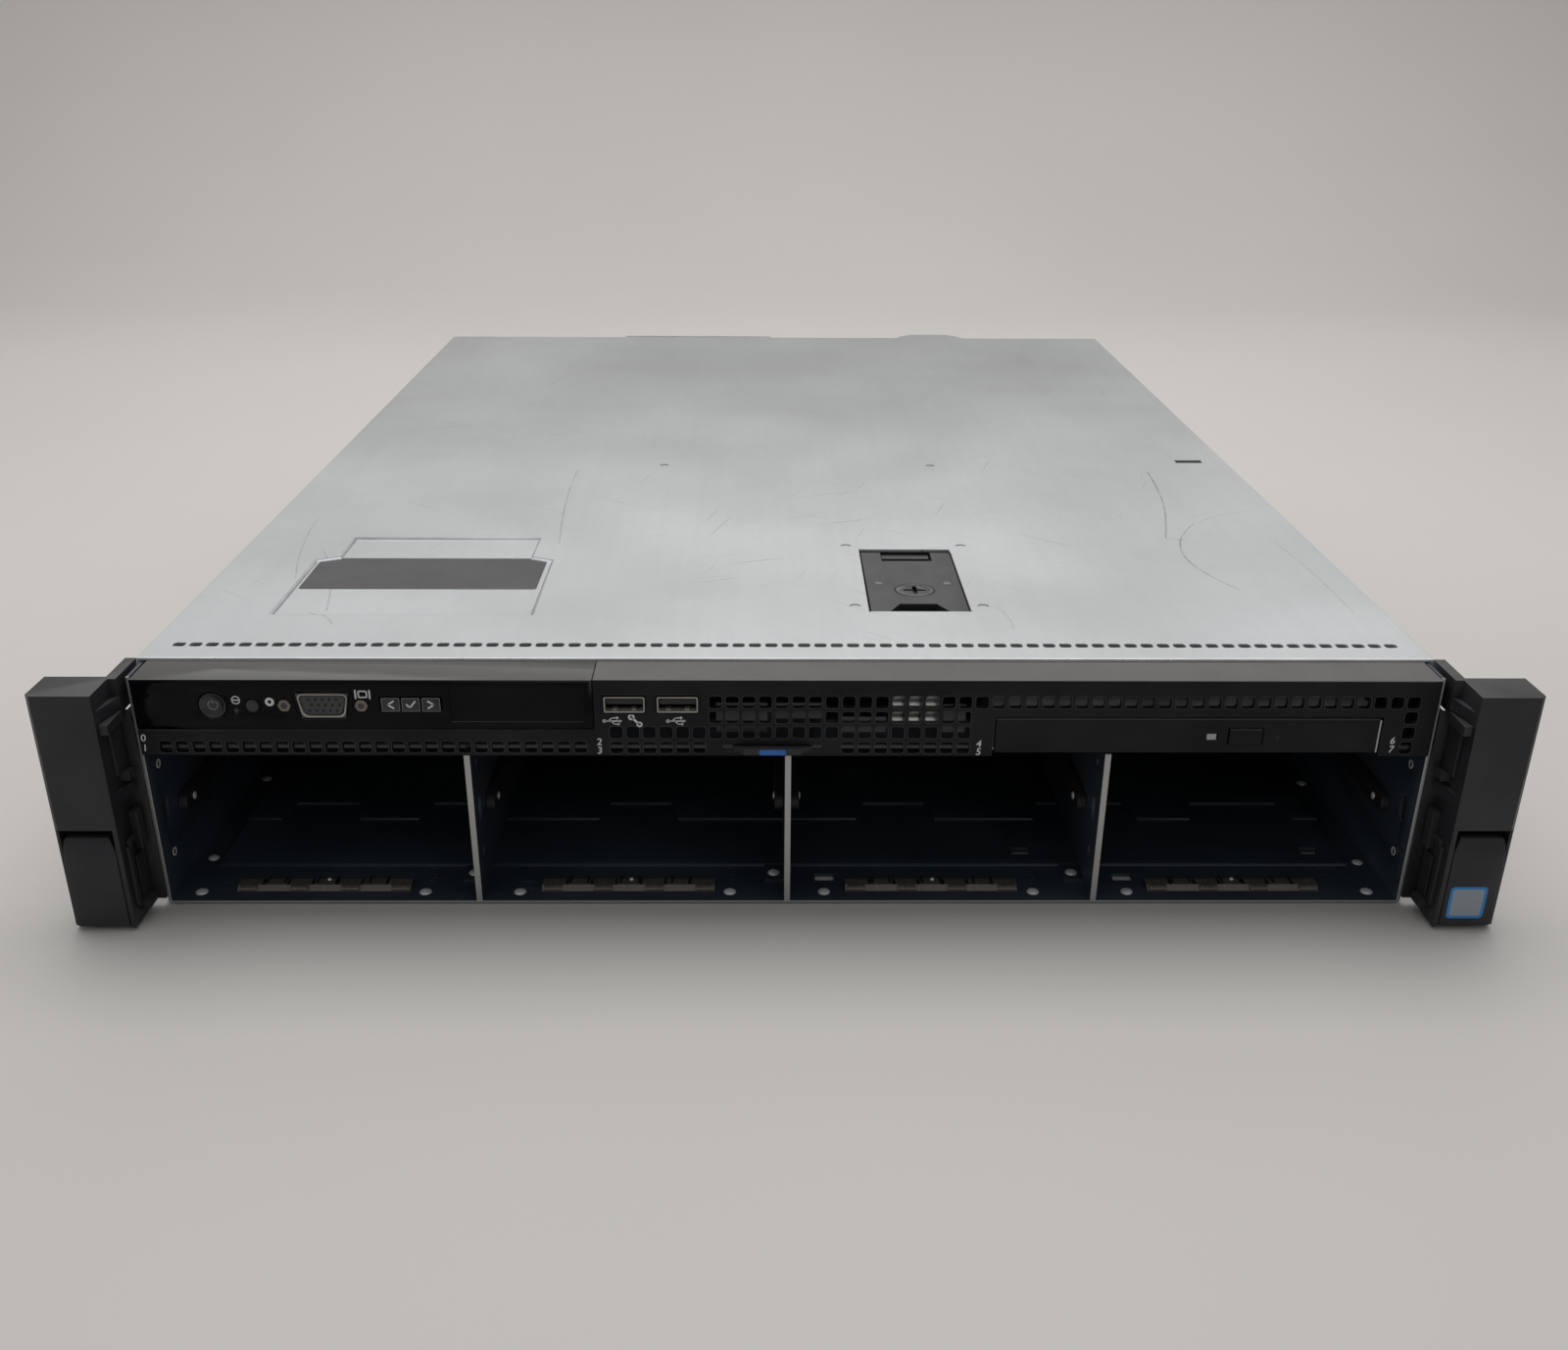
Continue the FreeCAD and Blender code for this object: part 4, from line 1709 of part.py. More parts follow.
def export():
    """Checks every object and each sub-part's shape, and then writes one file per sub-part."""
    doc.recompute()
    for item in doc.Objects:
        if "Invalid" in item.State or "Error" in item.State:
            raise RuntimeError(f"{item.Label} has failed: {item.State}")
    for body in PIECES:
        if body.Shape.isNull() or not body.Shape.isValid() or body.Shape.Volume <= 0:
            raise RuntimeError(f"{body.Label} has no valid shape")
    os.makedirs("parts", exist_ok=True)
    for body in PIECES:
        body.Shape.exportStep(f"parts/{body.Label}.step")


build()
export()
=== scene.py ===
import json
import math

import bmesh
import bpy
from mathutils import Matrix, Vector


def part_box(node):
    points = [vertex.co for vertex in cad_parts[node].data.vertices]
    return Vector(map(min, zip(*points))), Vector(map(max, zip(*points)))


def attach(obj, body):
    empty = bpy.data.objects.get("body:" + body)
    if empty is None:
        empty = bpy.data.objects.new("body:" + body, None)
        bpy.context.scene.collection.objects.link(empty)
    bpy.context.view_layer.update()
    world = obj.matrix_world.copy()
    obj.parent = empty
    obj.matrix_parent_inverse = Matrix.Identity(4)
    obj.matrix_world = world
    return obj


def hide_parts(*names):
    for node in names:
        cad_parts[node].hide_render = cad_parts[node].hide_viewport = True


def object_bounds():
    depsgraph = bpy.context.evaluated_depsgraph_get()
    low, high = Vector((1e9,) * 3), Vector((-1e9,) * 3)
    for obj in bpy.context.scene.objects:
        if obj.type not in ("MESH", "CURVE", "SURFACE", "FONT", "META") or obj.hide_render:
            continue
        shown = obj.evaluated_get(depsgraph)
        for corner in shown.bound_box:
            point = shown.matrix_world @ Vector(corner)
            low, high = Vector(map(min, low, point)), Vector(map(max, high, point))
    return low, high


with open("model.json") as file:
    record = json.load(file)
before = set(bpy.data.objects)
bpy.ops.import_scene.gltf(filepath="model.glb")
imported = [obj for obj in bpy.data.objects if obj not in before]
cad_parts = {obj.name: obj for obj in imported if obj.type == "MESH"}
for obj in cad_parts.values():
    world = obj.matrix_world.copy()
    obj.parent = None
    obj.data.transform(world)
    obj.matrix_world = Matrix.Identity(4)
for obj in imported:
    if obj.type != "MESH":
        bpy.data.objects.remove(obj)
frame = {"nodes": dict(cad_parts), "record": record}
cad_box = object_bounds()

MM = 0.001
SLOTS = {row["node"]: row["material_slot"] for row in frame["record"]["subparts"]}
BODIES = {}
for body, members in frame["record"]["behaviour"]["bodies"].items():
    for member in members:
        BODIES[member] = body


# ------------------------------------------------------------------------------- materials

class Shader:
    """A node material: a Principled shader and short calls that wire nodes in front of it."""

    def __init__(self, name):
        self.material = bpy.data.materials.new(name)
        self.material.use_nodes = True
        self.nodes = self.material.node_tree.nodes
        self.links = self.material.node_tree.links
        self.surface = self.nodes["Principled BSDF"]
        self.place = self.nodes.new("ShaderNodeTexCoord").outputs["Object"]

    def set(self, **values):
        for name, value in values.items():
            self.surface.inputs[name.replace("_", " ")].default_value = value
        return self

    def feed(self, socket, source):
        self.links.new(source, self.surface.inputs[socket])
        return self

    def scaled(self, x, y, z):
        """Object coordinates stretched along the axes."""
        node = self.nodes.new("ShaderNodeVectorMath")
        node.operation = "MULTIPLY"
        self.links.new(self.place, node.inputs[0])
        node.inputs[1].default_value = (x, y, z)
        return node.outputs[0]

    def noise(self, scale, detail=3.0, rough=0.5, at=None):
        node = self.nodes.new("ShaderNodeTexNoise")
        node.inputs["Scale"].default_value = scale
        node.inputs["Detail"].default_value = detail
        node.inputs["Roughness"].default_value = rough
        self.links.new(at or self.place, node.inputs["Vector"])
        return node.outputs["Fac"]

    def cells(self, scale, at=None):
        node = self.nodes.new("ShaderNodeTexVoronoi")
        node.inputs["Scale"].default_value = scale
        self.links.new(at or self.place, node.inputs["Vector"])
        return node

    def ramp(self, source, *stops):
        """Maps a value to greys or colours; each stop is (position, colour or grey)."""
        node = self.nodes.new("ShaderNodeValToRGB")
        band = node.color_ramp
        while len(band.elements) < len(stops):
            band.elements.new(0.5)
        for element, (position, colour) in zip(band.elements, stops):
            element.position = position
            grey = not isinstance(colour, tuple)
            element.color = (colour, colour, colour, 1) if grey else (*colour, 1)
        self.links.new(source, node.inputs["Fac"])
        return node.outputs["Color"]

    def math(self, kind, first, second=None):
        node = self.nodes.new("ShaderNodeMath")
        node.operation = kind
        for socket, value in zip(node.inputs, (first, second)):
            if value is None:
                continue
            if isinstance(value, (int, float)):
                socket.default_value = value
            else:
                self.links.new(value, socket)
        return node.outputs[0]

    def mix(self, factor, low, high):
        """Blends two colours; each may be a socket or a colour."""
        node = self.nodes.new("ShaderNodeMix")
        node.data_type = "RGBA"
        for socket, value in ((node.inputs[0], factor), (node.inputs[6], low), (node.inputs[7], high)):
            if isinstance(value, tuple):
                socket.default_value = (*value, 1)
            elif isinstance(value, (int, float)):
                socket.default_value = value
            else:
                self.links.new(value, socket)
        return node.outputs[2]

    def bump(self, height, strength, distance):
        node = self.nodes.new("ShaderNodeBump")
        node.inputs["Strength"].default_value = strength
        node.inputs["Distance"].default_value = distance
        self.links.new(height, node.inputs["Height"])
        self.links.new(node.outputs["Normal"], self.surface.inputs["Normal"])
        return self

    def axes(self):
        node = self.nodes.new("ShaderNodeSeparateXYZ")
        self.links.new(self.place, node.inputs[0])
        return node.outputs


def plastic(name, colour, rough, grain=900.0, depth=0.00004, wear=1.35, gloss=0.5, dust=0.0):
    """Moulded plastic with a fine grain and slightly uneven colour, and dust on its upward faces."""
    shader = Shader(name)
    pale = tuple(min(1.0, part * wear + 0.004) for part in colour)
    base = shader.mix(shader.ramp(shader.noise(38.0, 5.0), (0.38, 0.0), (0.7, 1.0)), colour, pale)
    if dust:
        facing = shader.nodes.new("ShaderNodeSeparateXYZ")
        shader.links.new(shader.nodes.new("ShaderNodeNewGeometry").outputs["Normal"], facing.inputs[0])
        share = shader.ramp(facing.outputs[2], (0.5, 0.0), (0.95, dust))
        base = shader.mix(share, base, (0.42, 0.41, 0.39))
    shader.feed("Base Color", base)
    shader.set(Specular_IOR_Level=gloss)
    shader.feed("Roughness", shader.ramp(shader.noise(60.0, 4.0), (0.3, rough - 0.06), (0.7, rough + 0.08)))
    shader.bump(shader.noise(grain, 2.0), 0.35, depth)
    return shader.material


# depths of the bumps in metres
METAL_GRAIN = 0.00001
ZINC_GRAIN = 0.00002
PAINT_GRAIN = 0.00003


def metal(name, colour, rough, grain=(14.0, 900.0, 14.0), metallic=1.0):
    """Rolled or drawn metal with a faint directional grain."""
    shader = Shader(name)
    grain_at = shader.scaled(*grain)
    lines = shader.noise(1.0, 3.0, 0.6, grain_at)
    dark = tuple(part * 0.78 for part in colour)
    shader.feed("Base Color", shader.mix(shader.ramp(lines, (0.35, 0.0), (0.65, 1.0)), dark, colour))
    shader.feed("Roughness", shader.ramp(shader.noise(45.0, 4.0), (0.3, rough - 0.07), (0.7, rough + 0.1)))
    shader.set(Metallic=metallic)
    shader.bump(lines, 0.3, METAL_GRAIN)
    return shader.material


def galvanised(name, scratches, far):
    """Zinc-coated sheet: pale, cloudy, with faint rolling lines, spangle and dark scratches, and painted
    shade that darkens it towards the rear.

    Each scratch is (start, end, sag, width, depth); far is how bright the rear stays under the painted shade.
    """
    shader = Shader(name)
    cloud = shader.noise(5.0, 6.0, 0.62)
    spangle = shader.cells(320.0).outputs["Distance"]
    lines = shader.noise(1.0, 2.0, 0.5, shader.scaled(260.0, 6.0, 20.0))
    base = shader.mix(shader.ramp(cloud, (0.3, 0.0), (0.72, 1.0)), (0.50, 0.52, 0.525), (0.62, 0.635, 0.64))
    base = shader.mix(shader.ramp(spangle, (0.1, 0.0), (0.7, 0.1)), base, (0.42, 0.44, 0.45))
    base = shader.mix(shader.ramp(lines, (0.4, 0.0), (0.75, 0.10)), base, (0.40, 0.42, 0.43))
    marks = hairlines(shader)
    for scratch in scratches:
        marks = shader.math("MAXIMUM", marks, scratch_mask(shader, *scratch))
    base = shader.mix(marks, base, (0.13, 0.14, 0.15))
    # painted shade: the colour darkens from the front towards the rear, down to far
    painted_rear_shade = shader.ramp(shader.axes()[1], (0.02, 1.0), (0.50, far))
    base = shader.mix(painted_rear_shade, (0.0, 0.0, 0.0), base)
    shader.feed("Base Color", base)
    shader.feed("Roughness", shader.ramp(shader.noise(11.0, 5.0), (0.3, 0.36), (0.7, 0.5)))
    shader.set(Metallic=0.62)
    shader.bump(shader.math("ADD", lines, shader.math("MULTIPLY", marks, -1.5)), 0.25, ZINC_GRAIN)
    return shader.material


def hairlines(shader):
    """Short faint scratches lying every way, thinned out by a slow noise."""
    total = None
    for turn, seed in ((0.3, 0.0), (1.2, 3.1), (2.3, 7.7)):
        spin = shader.nodes.new("ShaderNodeVectorRotate")
        spin.rotation_type = "Z_AXIS"
        spin.inputs["Angle"].default_value = turn
        shader.links.new(shader.place, spin.inputs["Vector"])
        stretch = shader.nodes.new("ShaderNodeVectorMath")
        stretch.operation = "MULTIPLY_ADD"
        shader.links.new(spin.outputs[0], stretch.inputs[0])
        stretch.inputs[1].default_value = (900.0, 16.0, 0.0)
        stretch.inputs[2].default_value = (seed, seed, seed)
        line = shader.noise(1.0, 1.0, 0.4, stretch.outputs[0])
        line = shader.ramp(line, (0.735, 0.0), (0.80, 0.55))
        total = line if total is None else shader.math("MAXIMUM", total, line)
    patches = shader.ramp(shader.noise(7.0, 3.0), (0.45, 0.0), (0.62, 1.0))
    return shader.math("MULTIPLY", total, patches)


def scratch_mask(shader, start, end, sag, width, depth):
    """A bowed scratch on the XY plane between two points in millimetres."""
    x, y = shader.axes()[:2]
    length = math.dist(start, end)
    along = ((end[0] - start[0]) / length, (end[1] - start[1]) / length)
    ahead = shader.math("SUBTRACT", x, start[0] * MM)
    aside = shader.math("SUBTRACT", y, start[1] * MM)
    run = shader.math("ADD", shader.math("MULTIPLY", ahead, along[0]),
                      shader.math("MULTIPLY", aside, along[1]))
    share = shader.math("DIVIDE", run, length * MM)
    off = shader.math("SUBTRACT", shader.math("MULTIPLY", aside, along[0]),
                      shader.math("MULTIPLY", ahead, along[1]))
    bow = shader.math("MULTIPLY", shader.math("MULTIPLY", share, shader.math("SUBTRACT", 1.0, share)),
                      4 * sag * MM)
    wobble = shader.math("MULTIPLY", shader.noise(55.0, 2.0), 0.9 * MM)
    away = shader.math("ABSOLUTE", shader.math("SUBTRACT", shader.math("ADD", off, wobble), bow))
    inside = shader.math("LESS_THAN", shader.math("ABSOLUTE", shader.math("SUBTRACT", share, 0.5)), 0.5)
    line = shader.math("SUBTRACT", 1.0, shader.math("DIVIDE", away, width * MM))
    broken = shader.ramp(shader.noise(140.0, 2.0), (0.35, 0.25), (0.6, depth))
    return shader.math("MULTIPLY", shader.math("MULTIPLY", shader.math("MAXIMUM", line, 0.0), inside), broken)


def chassis_paint():
    """Dark blue-grey painted steel, with a painted highlight: a pale, metallic band along its front edges."""
    shader = Shader("chassis_paint")
    cloud = shader.ramp(shader.noise(16.0, 5.0), (0.35, 0.0), (0.7, 1.0))
    base = shader.mix(cloud, (0.020, 0.028, 0.038), (0.036, 0.048, 0.062))
    y = shader.axes()[1]
    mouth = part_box("chassis_tray")[0].y
    # painted highlight: faces within 0.35 mm of the front of the tray turn pale and metallic
    edge = shader.math("LESS_THAN", y, mouth + 0.35 * MM)
    base = shader.mix(edge, base, (0.44, 0.44, 0.42))
    shader.feed("Base Color", base)
    shader.feed("Metallic", shader.math("MULTIPLY", edge, 0.7))
    shader.feed("Roughness", shader.ramp(shader.noise(30.0, 4.0), (0.3, 0.34), (0.7, 0.48)))
    shader.bump(shader.noise(420.0, 2.0), 0.25, PAINT_GRAIN)
    return shader.material


def board(name):
    """A circuit board: solder mask over a faint maze of tracks."""
    shader = Shader(name)
    mask = (0.012, 0.075, 0.030)
    cells = shader.cells(420.0, shader.scaled(1.0, 0.35, 1.0)).outputs["Distance"]
    tracks = shader.ramp(cells, (0.30, 0.0), (0.36, 1.0))
    light = tuple(part * 1.9 for part in mask)
    shader.feed("Base Color", shader.mix(tracks, mask, light))
    shader.feed("Roughness", shader.ramp(shader.noise(70.0), (0.3, 0.32), (0.7, 0.45)))
    shader.bump(tracks, 0.2, PAINT_GRAIN)
    return shader.material


MATTE = plastic("matte_black", (0.0135, 0.0128, 0.0160), 0.46, 1500.0, 0.00003, gloss=0.45, dust=0.05)
GRILLE = plastic("panel_black", (0.0050, 0.0048, 0.0072), 0.42, 1300.0, 0.00002, gloss=0.2, dust=0.25)
GLOSS = plastic("gloss_black", (0.0012, 0.0012, 0.0028), 0.12, 500.0, 0.000004,
                wear=1.1, gloss=0.12, dust=0.24)
KEY = plastic("key_black", (0.007, 0.007, 0.009), 0.2, 900.0, 0.00001, gloss=0.6)
INNER = plastic("inner_black", (0.012, 0.012, 0.013), 0.55)
ORANGE = plastic("release_orange", (0.42, 0.095, 0.02), 0.4)
PORT_BLUE = plastic("port_core", (0.040, 0.038, 0.040), 0.45)
PAINT = chassis_paint()
# the cover's scratches, and how bright its rear stays under the painted shade (0.70)
COVER = galvanised("cover_zinc", (
    ((175.0, 254.9), (159.0, 150.0), 3.0, 0.5, 0.9), ((159.0, 150.0), (166.5, 146.0), 0.5, 0.4, 0.8),
    ((176.0, 170.0), (172.0, 84.0), -13.0, 0.5, 0.85), ((178.0, 172.0), (205.0, 190.0), 3.0, 0.3, 0.6),
    ((-96.0, 255.6), (-90.8, 140.0), -1.5, 0.35, 0.7), ((-185.2, 132.8), (-166.0, 62.0), 2.5, 0.45, 0.6),
    ((-198.0, 176.0), (-186.0, 96.0), -2.0, 0.35, 0.6), ((-172.0, 60.0), (-160.0, 46.0), 2.0, 0.4, 0.7),
    ((77.0, 66.0), (80.0, 40.0), 1.5, 0.35, 0.5), ((202.0, 150.0), (206.0, 60.0), 1.5, 0.3, 0.6)), 0.70)
BARE = metal("bare_steel", (0.55, 0.55, 0.54), 0.33)
BRONZE = metal("contact_bronze", (0.25, 0.215, 0.185), 0.42, (700.0, 10.0, 10.0), metallic=0.7)
SHELL = metal("port_shell", (0.62, 0.61, 0.58), 0.3, (60.0, 60.0, 60.0))
ALUMINIUM = metal("sink_aluminium", (0.68, 0.69, 0.70), 0.35, (10.0, 10.0, 500.0))
SUPPLY = metal("supply_case", (0.42, 0.43, 0.44), 0.4, (8.0, 500.0, 8.0))
BOARD = board("board_green")
RIM = plastic("hole_rim", (0.009, 0.0085, 0.011), 0.34, 900.0, 0.00001)
INK = plastic("printed_ink", (0.62, 0.62, 0.62), 0.5, 300.0, 0.000002, 1.05)
DIM_INK = plastic("dim_ink", (0.16, 0.16, 0.17), 0.45, 300.0, 0.000002, 1.1)
# painted shade: near-black stand-ins for the dark inside holes and slits
PAINTED_HOLE_SHADE = plastic("painted_hole_shade", (0.002, 0.002, 0.002), 0.6)
LABEL = plastic("blank_label", (0.022, 0.022, 0.024), 0.32, 300.0, 0.000004)
BADGE = plastic("badge_face", (0.27, 0.31, 0.34), 0.35, 300.0, 0.000004, 1.1)
BADGE_EDGE = plastic("badge_edge", (0.02, 0.20, 0.50), 0.35, 300.0, 0.000004, 1.2)
BLUE = plastic("tag_blue", (0.012, 0.12, 0.42), 0.4, 300.0, 0.000004, 1.2)
LAMP = plastic("lamp_lens", (0.36, 0.38, 0.40), 0.3, 300.0, 0.000002, 1.1)
RIM_METAL = metal("port_rim", (0.46, 0.43, 0.38), 0.34, (60.0, 60.0, 60.0), metallic=0.4)
RIM_METAL_DARK = metal("post_metal", (0.24, 0.21, 0.17), 0.38, (60.0, 60.0, 60.0), metallic=0.6)
# pale steel of the rivets, also used for painted highlights along the cover's front edge and round the wall
# slots
BRIGHT = metal("rivet_steel_and_painted_highlight", (0.80, 0.80, 0.79), 0.3, (40.0, 40.0, 40.0), metallic=0.3)
EDGE = metal("worn_edge", (0.46, 0.48, 0.50), 0.4, (60.0, 60.0, 60.0))

NODE_MATERIALS = {
    "chassis_paint": PAINT, "cover_steel": COVER, "bare_steel": BARE, "contact_metal": BRONZE,
    "black_plastic": MATTE, "gloss_black": GLOSS, "key_grey": KEY, "board": BOARD,
    "connector_plastic": INNER, "port_shell": SHELL, "port_blue": PORT_BLUE,
    "heat_sink_metal": ALUMINIUM, "fan_plastic": INNER, "supply_metal": SUPPLY,
    "release_orange": ORANGE,
}
OWN_MATERIALS = {"rack_bracket_left": MATTE, "rack_bracket_right": MATTE, "usb_ports": INNER,
                 "front_panel": GRILLE, "disc_tray": GRILLE, "eject_button": GRILLE}


def dress(node):
    """The material of a node: its own, or that of its slot."""
    return OWN_MATERIALS.get(node, NODE_MATERIALS[SLOTS[node]])


for node, thing in frame["nodes"].items():
    thing.data.materials.clear()
    thing.data.materials.append(dress(node))


# ---------------------------------------------------------------------------------- pieces

# the plane of the front panel's face, in millimetres
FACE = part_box("front_panel")[0].y / MM
ACROSS, ALONG, UP = "X", "Y", "Z"


def link(name, mesh, material, like):
    """Makes a piece from a mesh, and lets it ride with the body of a CAD node."""
    piece = bpy.data.objects.new(name, mesh)
    bpy.context.scene.collection.objects.link(piece)
    mesh.materials.clear()
    mesh.materials.append(material)
    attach(piece, BODIES[like])
    return piece


# edges sharper than SHARP are rounded, and faces flatter than FLAT are joined
SHARP = math.radians(35.0)
FLAT = math.radians(0.5)
BEVEL_STEPS = 2
# points closer than this, in metres, are one point
WELD = 0.000001


def bevelled(piece, width):
    """Rounds a piece's sharp edges."""
    edge = piece.modifiers.new("edge", "BEVEL")
    edge.width = width * MM
    edge.segments = BEVEL_STEPS
    edge.limit_method = "ANGLE"
    edge.angle_limit = SHARP
    edge.use_clamp_overlap = True
    edge.harden_normals = True
    piece.data.shade_smooth()


def rounded(node, bevel, least):
    """A copy of a CAD node with rounded edges, which stands for the node.

    A plate with many holes gives the least length of the edges that are rounded, and keeps flat
    faces. The other nodes give 0.
    """
    mesh = frame["nodes"][node].data.copy()
    cage = bmesh.new()
    cage.from_mesh(mesh)
    bmesh.ops.remove_doubles(cage, verts=cage.verts, dist=WELD)
    bmesh.ops.dissolve_limit(cage, angle_limit=FLAT, verts=cage.verts, edges=cage.edges)
    if least:
        long = [edge for edge in cage.edges
                if edge.calc_length() > least * MM and edge.calc_face_angle(0.0) > 1.0]
        bmesh.ops.bevel(cage, geom=long, offset=bevel * MM, segments=BEVEL_STEPS, profile=0.5,
                        affect="EDGES", clamp_overlap=True)
    cage.to_mesh(mesh)
    cage.free()
    mesh.name = f"{node}_body"
    piece = link(f"{node}_body", mesh, dress(node), node)
    if not least:
        bevelled(piece, bevel)
    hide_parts(node)


def placed(axis, level, first, second):
    """A point from its level along one axis and its places along the other two."""
    order = {ACROSS: (level, first, second), ALONG: (first, level, second), UP: (first, second, level)}
    return Vector(order[axis]) * MM


def prism(cage, axis, low, high, outline):
    """Adds a prism between two levels of an axis."""
    ends = [[cage.verts.new(placed(axis, level, *point)) for point in outline] for level in (low, high)]
    count = len(outline)
    cage.faces.new(ends[0])
    cage.faces.new(ends[1])
    for index in range(count):
        after = (index + 1) % count
        cage.faces.new((ends[0][index], ends[0][after], ends[1][after], ends[1][index]))


def block(cage, left, right, near, far, low, high):
    """Adds a box."""
    prism(cage, UP, low, high, [(left, near), (right, near), (right, far), (left, far)])


def band(cage, axis, low, high, outer, inner):
    """Adds a frame between two outlines with as many points."""
    loops = [[cage.verts.new(placed(axis, level, *point)) for point in outline]
             for level, outline in ((low, outer), (high, outer), (high, inner), (low, inner))]
    count = len(outer)
    for index in range(count):
        after = (index + 1) % count
        for first, second in zip(loops, loops[1:] + loops[:1]):
            cage.faces.new((first[index], first[after], second[after], second[index]))


def lathe(cage, axis, centre, profile, count=24):
    """Adds a turned body; its profile is a list of (level along the axis, radius)."""
    rings = []
    for level, radius in profile:
        ring = []
        for step in range(count):
            angle = 2 * math.pi * step / count
            ring.append(cage.verts.new(placed(axis, level, centre[0] + radius * math.cos(angle),
                                              centre[1] + radius * math.sin(angle))))
        rings.append(ring)
    for low, high in zip(rings, rings[1:]):
        for step in range(count):
            after = (step + 1) % count
            cage.faces.new((low[step], low[after], high[after], high[step]))
    cage.faces.new(rings[0])
    cage.faces.new(rings[-1])


def circle(across, up, radius, count=24):
    """Points round a circle."""
    turns = [2 * math.pi * step / count for step in range(count)]
    return [(across + radius * math.cos(turn), up + radius * math.sin(turn)) for turn in turns]


def oblong(across, up, width, height, corner, steps=4):
    """A rectangle with rounded corners about its middle."""
    points = []
    for turn, (side, level) in enumerate(((1, 1), (-1, 1), (-1, -1), (1, -1))):
        middle = (across + side * (width / 2 - corner), up + level * (height / 2 - corner))
        for step in range(steps + 1):
            angle = math.pi / 2 * (turn + step / steps)
            points.append((middle[0] + corner * math.cos(angle), middle[1] + corner * math.sin(angle)))
    return points


def soft(points, radius):
    """An outline with its corners rounded off."""
    steps = 4
    rounded_points = []
    for index, point in enumerate(points):
        before, after = points[index - 1], points[(index + 1) % len(points)]
        ends = []
        for other in (before, after):
            reach = min(0.5, radius / math.dist(point, other))
            ends.append(tuple(a + (b - a) * reach for a, b in zip(point, other)))
        for step in range(steps + 1):
            share = step / steps
            rounded_points.append(tuple((1 - share) ** 2 * a + 2 * share * (1 - share) * b + share ** 2 * c
                                        for a, b, c in zip(ends[0], point, ends[1])))
    return rounded_points


def corners(cage, axis, low, high, across, up, width, height, radius):
    """Fills the four corners of a square-cornered hole, so that they are round."""
    for side, level in ((1, 1), (-1, 1), (-1, -1), (1, -1)):
        tip = (across + side * (width / 2 + 0.02), up + level * (height / 2 + 0.02))
        middle = (across + side * (width / 2 - radius), up + level * (height / 2 - radius))
        curve = [(middle[0] + side * radius * math.cos(turn), middle[1] + level * radius * math.sin(turn))
                 for turn in (math.pi / 8 * step for step in range(5))]
        prism(cage, axis, low, high, [tip] + curve)


def stroke(cage, axis, low, high, points, width):
    """Adds a line of even width through points, with squared ends."""
    for first, second in zip(points, points[1:]):
        run = math.dist(first, second)
        along = ((second[0] - first[0]) / run, (second[1] - first[1]) / run)
        reach = width / 2
        aside = (-along[1] * reach, along[0] * reach)
        ahead = (along[0] * reach, along[1] * reach)
        prism(cage, axis, low, high,
              [(first[0] - ahead[0] + aside[0], first[1] - ahead[1] + aside[1]),
               (first[0] - ahead[0] - aside[0], first[1] - ahead[1] - aside[1]),
               (second[0] + ahead[0] - aside[0], second[1] + ahead[1] - aside[1]),
               (second[0] + ahead[0] + aside[0], second[1] + ahead[1] + aside[1])])


def arc(across, up, radius, start, end, steps=12):
    """Points along an arc between two angles in degrees."""
    turns = [math.radians(start + (end - start) * step / steps) for step in range(steps + 1)]
    return [(across + radius * math.cos(turn), up + radius * math.sin(turn)) for turn in turns]


class Making:
    """A mesh in the making: 'with Making(name, material, node) as cage' fills it and links it."""

    def __init__(self, name, material, like, bevel=0.0, replaces=()):
        self.name, self.material, self.like = name, material, like
        self.bevel, self.replaced = bevel, replaces

    def __enter__(self):
        self.cage = bmesh.new()
        return self.cage

    def __exit__(self, *failure):
        bmesh.ops.recalc_face_normals(self.cage, faces=self.cage.faces)
        mesh = bpy.data.meshes.new(self.name)
        self.cage.to_mesh(mesh)
        self.cage.free()
        piece = link(self.name, mesh, self.material, self.like)
        if self.bevel:
            bevelled(piece, self.bevel)
        if self.replaced:
            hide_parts(*self.replaced)


def islands(node):
    """The boxes of a node's separate solids, in millimetres."""
    mesh = frame["nodes"][node].data
    cage = bmesh.new()
    cage.from_mesh(mesh)
    bmesh.ops.remove_doubles(cage, verts=cage.verts, dist=WELD)
    seen = set()
    boxes = []
    for start in cage.verts:
        if start in seen:
            continue
        seen.add(start)
        heap = [start]
        spots = []
        while heap:
            vert = heap.pop()
            spots.append(vert.co / MM)
            for edge in vert.link_edges:
                other = edge.other_vert(vert)
                if other not in seen:
                    seen.add(other)
                    heap.append(other)
        boxes.append((Vector(map(min, zip(*spots))), Vector(map(max, zip(*spots)))))
    cage.free()
    return sorted(boxes, key=lambda box: tuple(box[0]))


def glyph(cage, text, across, up, size, front, lean=0.0):
    """Adds characters, facing forward, about their middle."""
    thick = 0.05
    data = bpy.data.curves.new("glyph", "FONT")
    data.body = text
    data.size = size
    data.shear = lean
    data.offset = 0.012 * size
    data.align_x = "CENTER"
    data.align_y = "CENTER"
    data.extrude = thick / 2
    data.resolution_u = 4
    thing = bpy.data.objects.new("glyph", data)
    bpy.context.scene.collection.objects.link(thing)
    bpy.context.view_layer.update()
    mesh = bpy.data.meshes.new_from_object(thing)
    bpy.data.objects.remove(thing)
    mesh.transform(Matrix.Translation(Vector((across, front + thick / 2, up)) * MM)
                   @ Matrix.Rotation(math.pi / 2, 4, "X") @ Matrix.Scale(MM, 4))
    cage.from_mesh(mesh)
    bpy.data.meshes.remove(mesh)


# ------------------------------------------------------------------------------- details

def pick(node):
    """The box of a CAD node, in millimetres."""
    low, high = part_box(node)
    return low / MM, high / MM


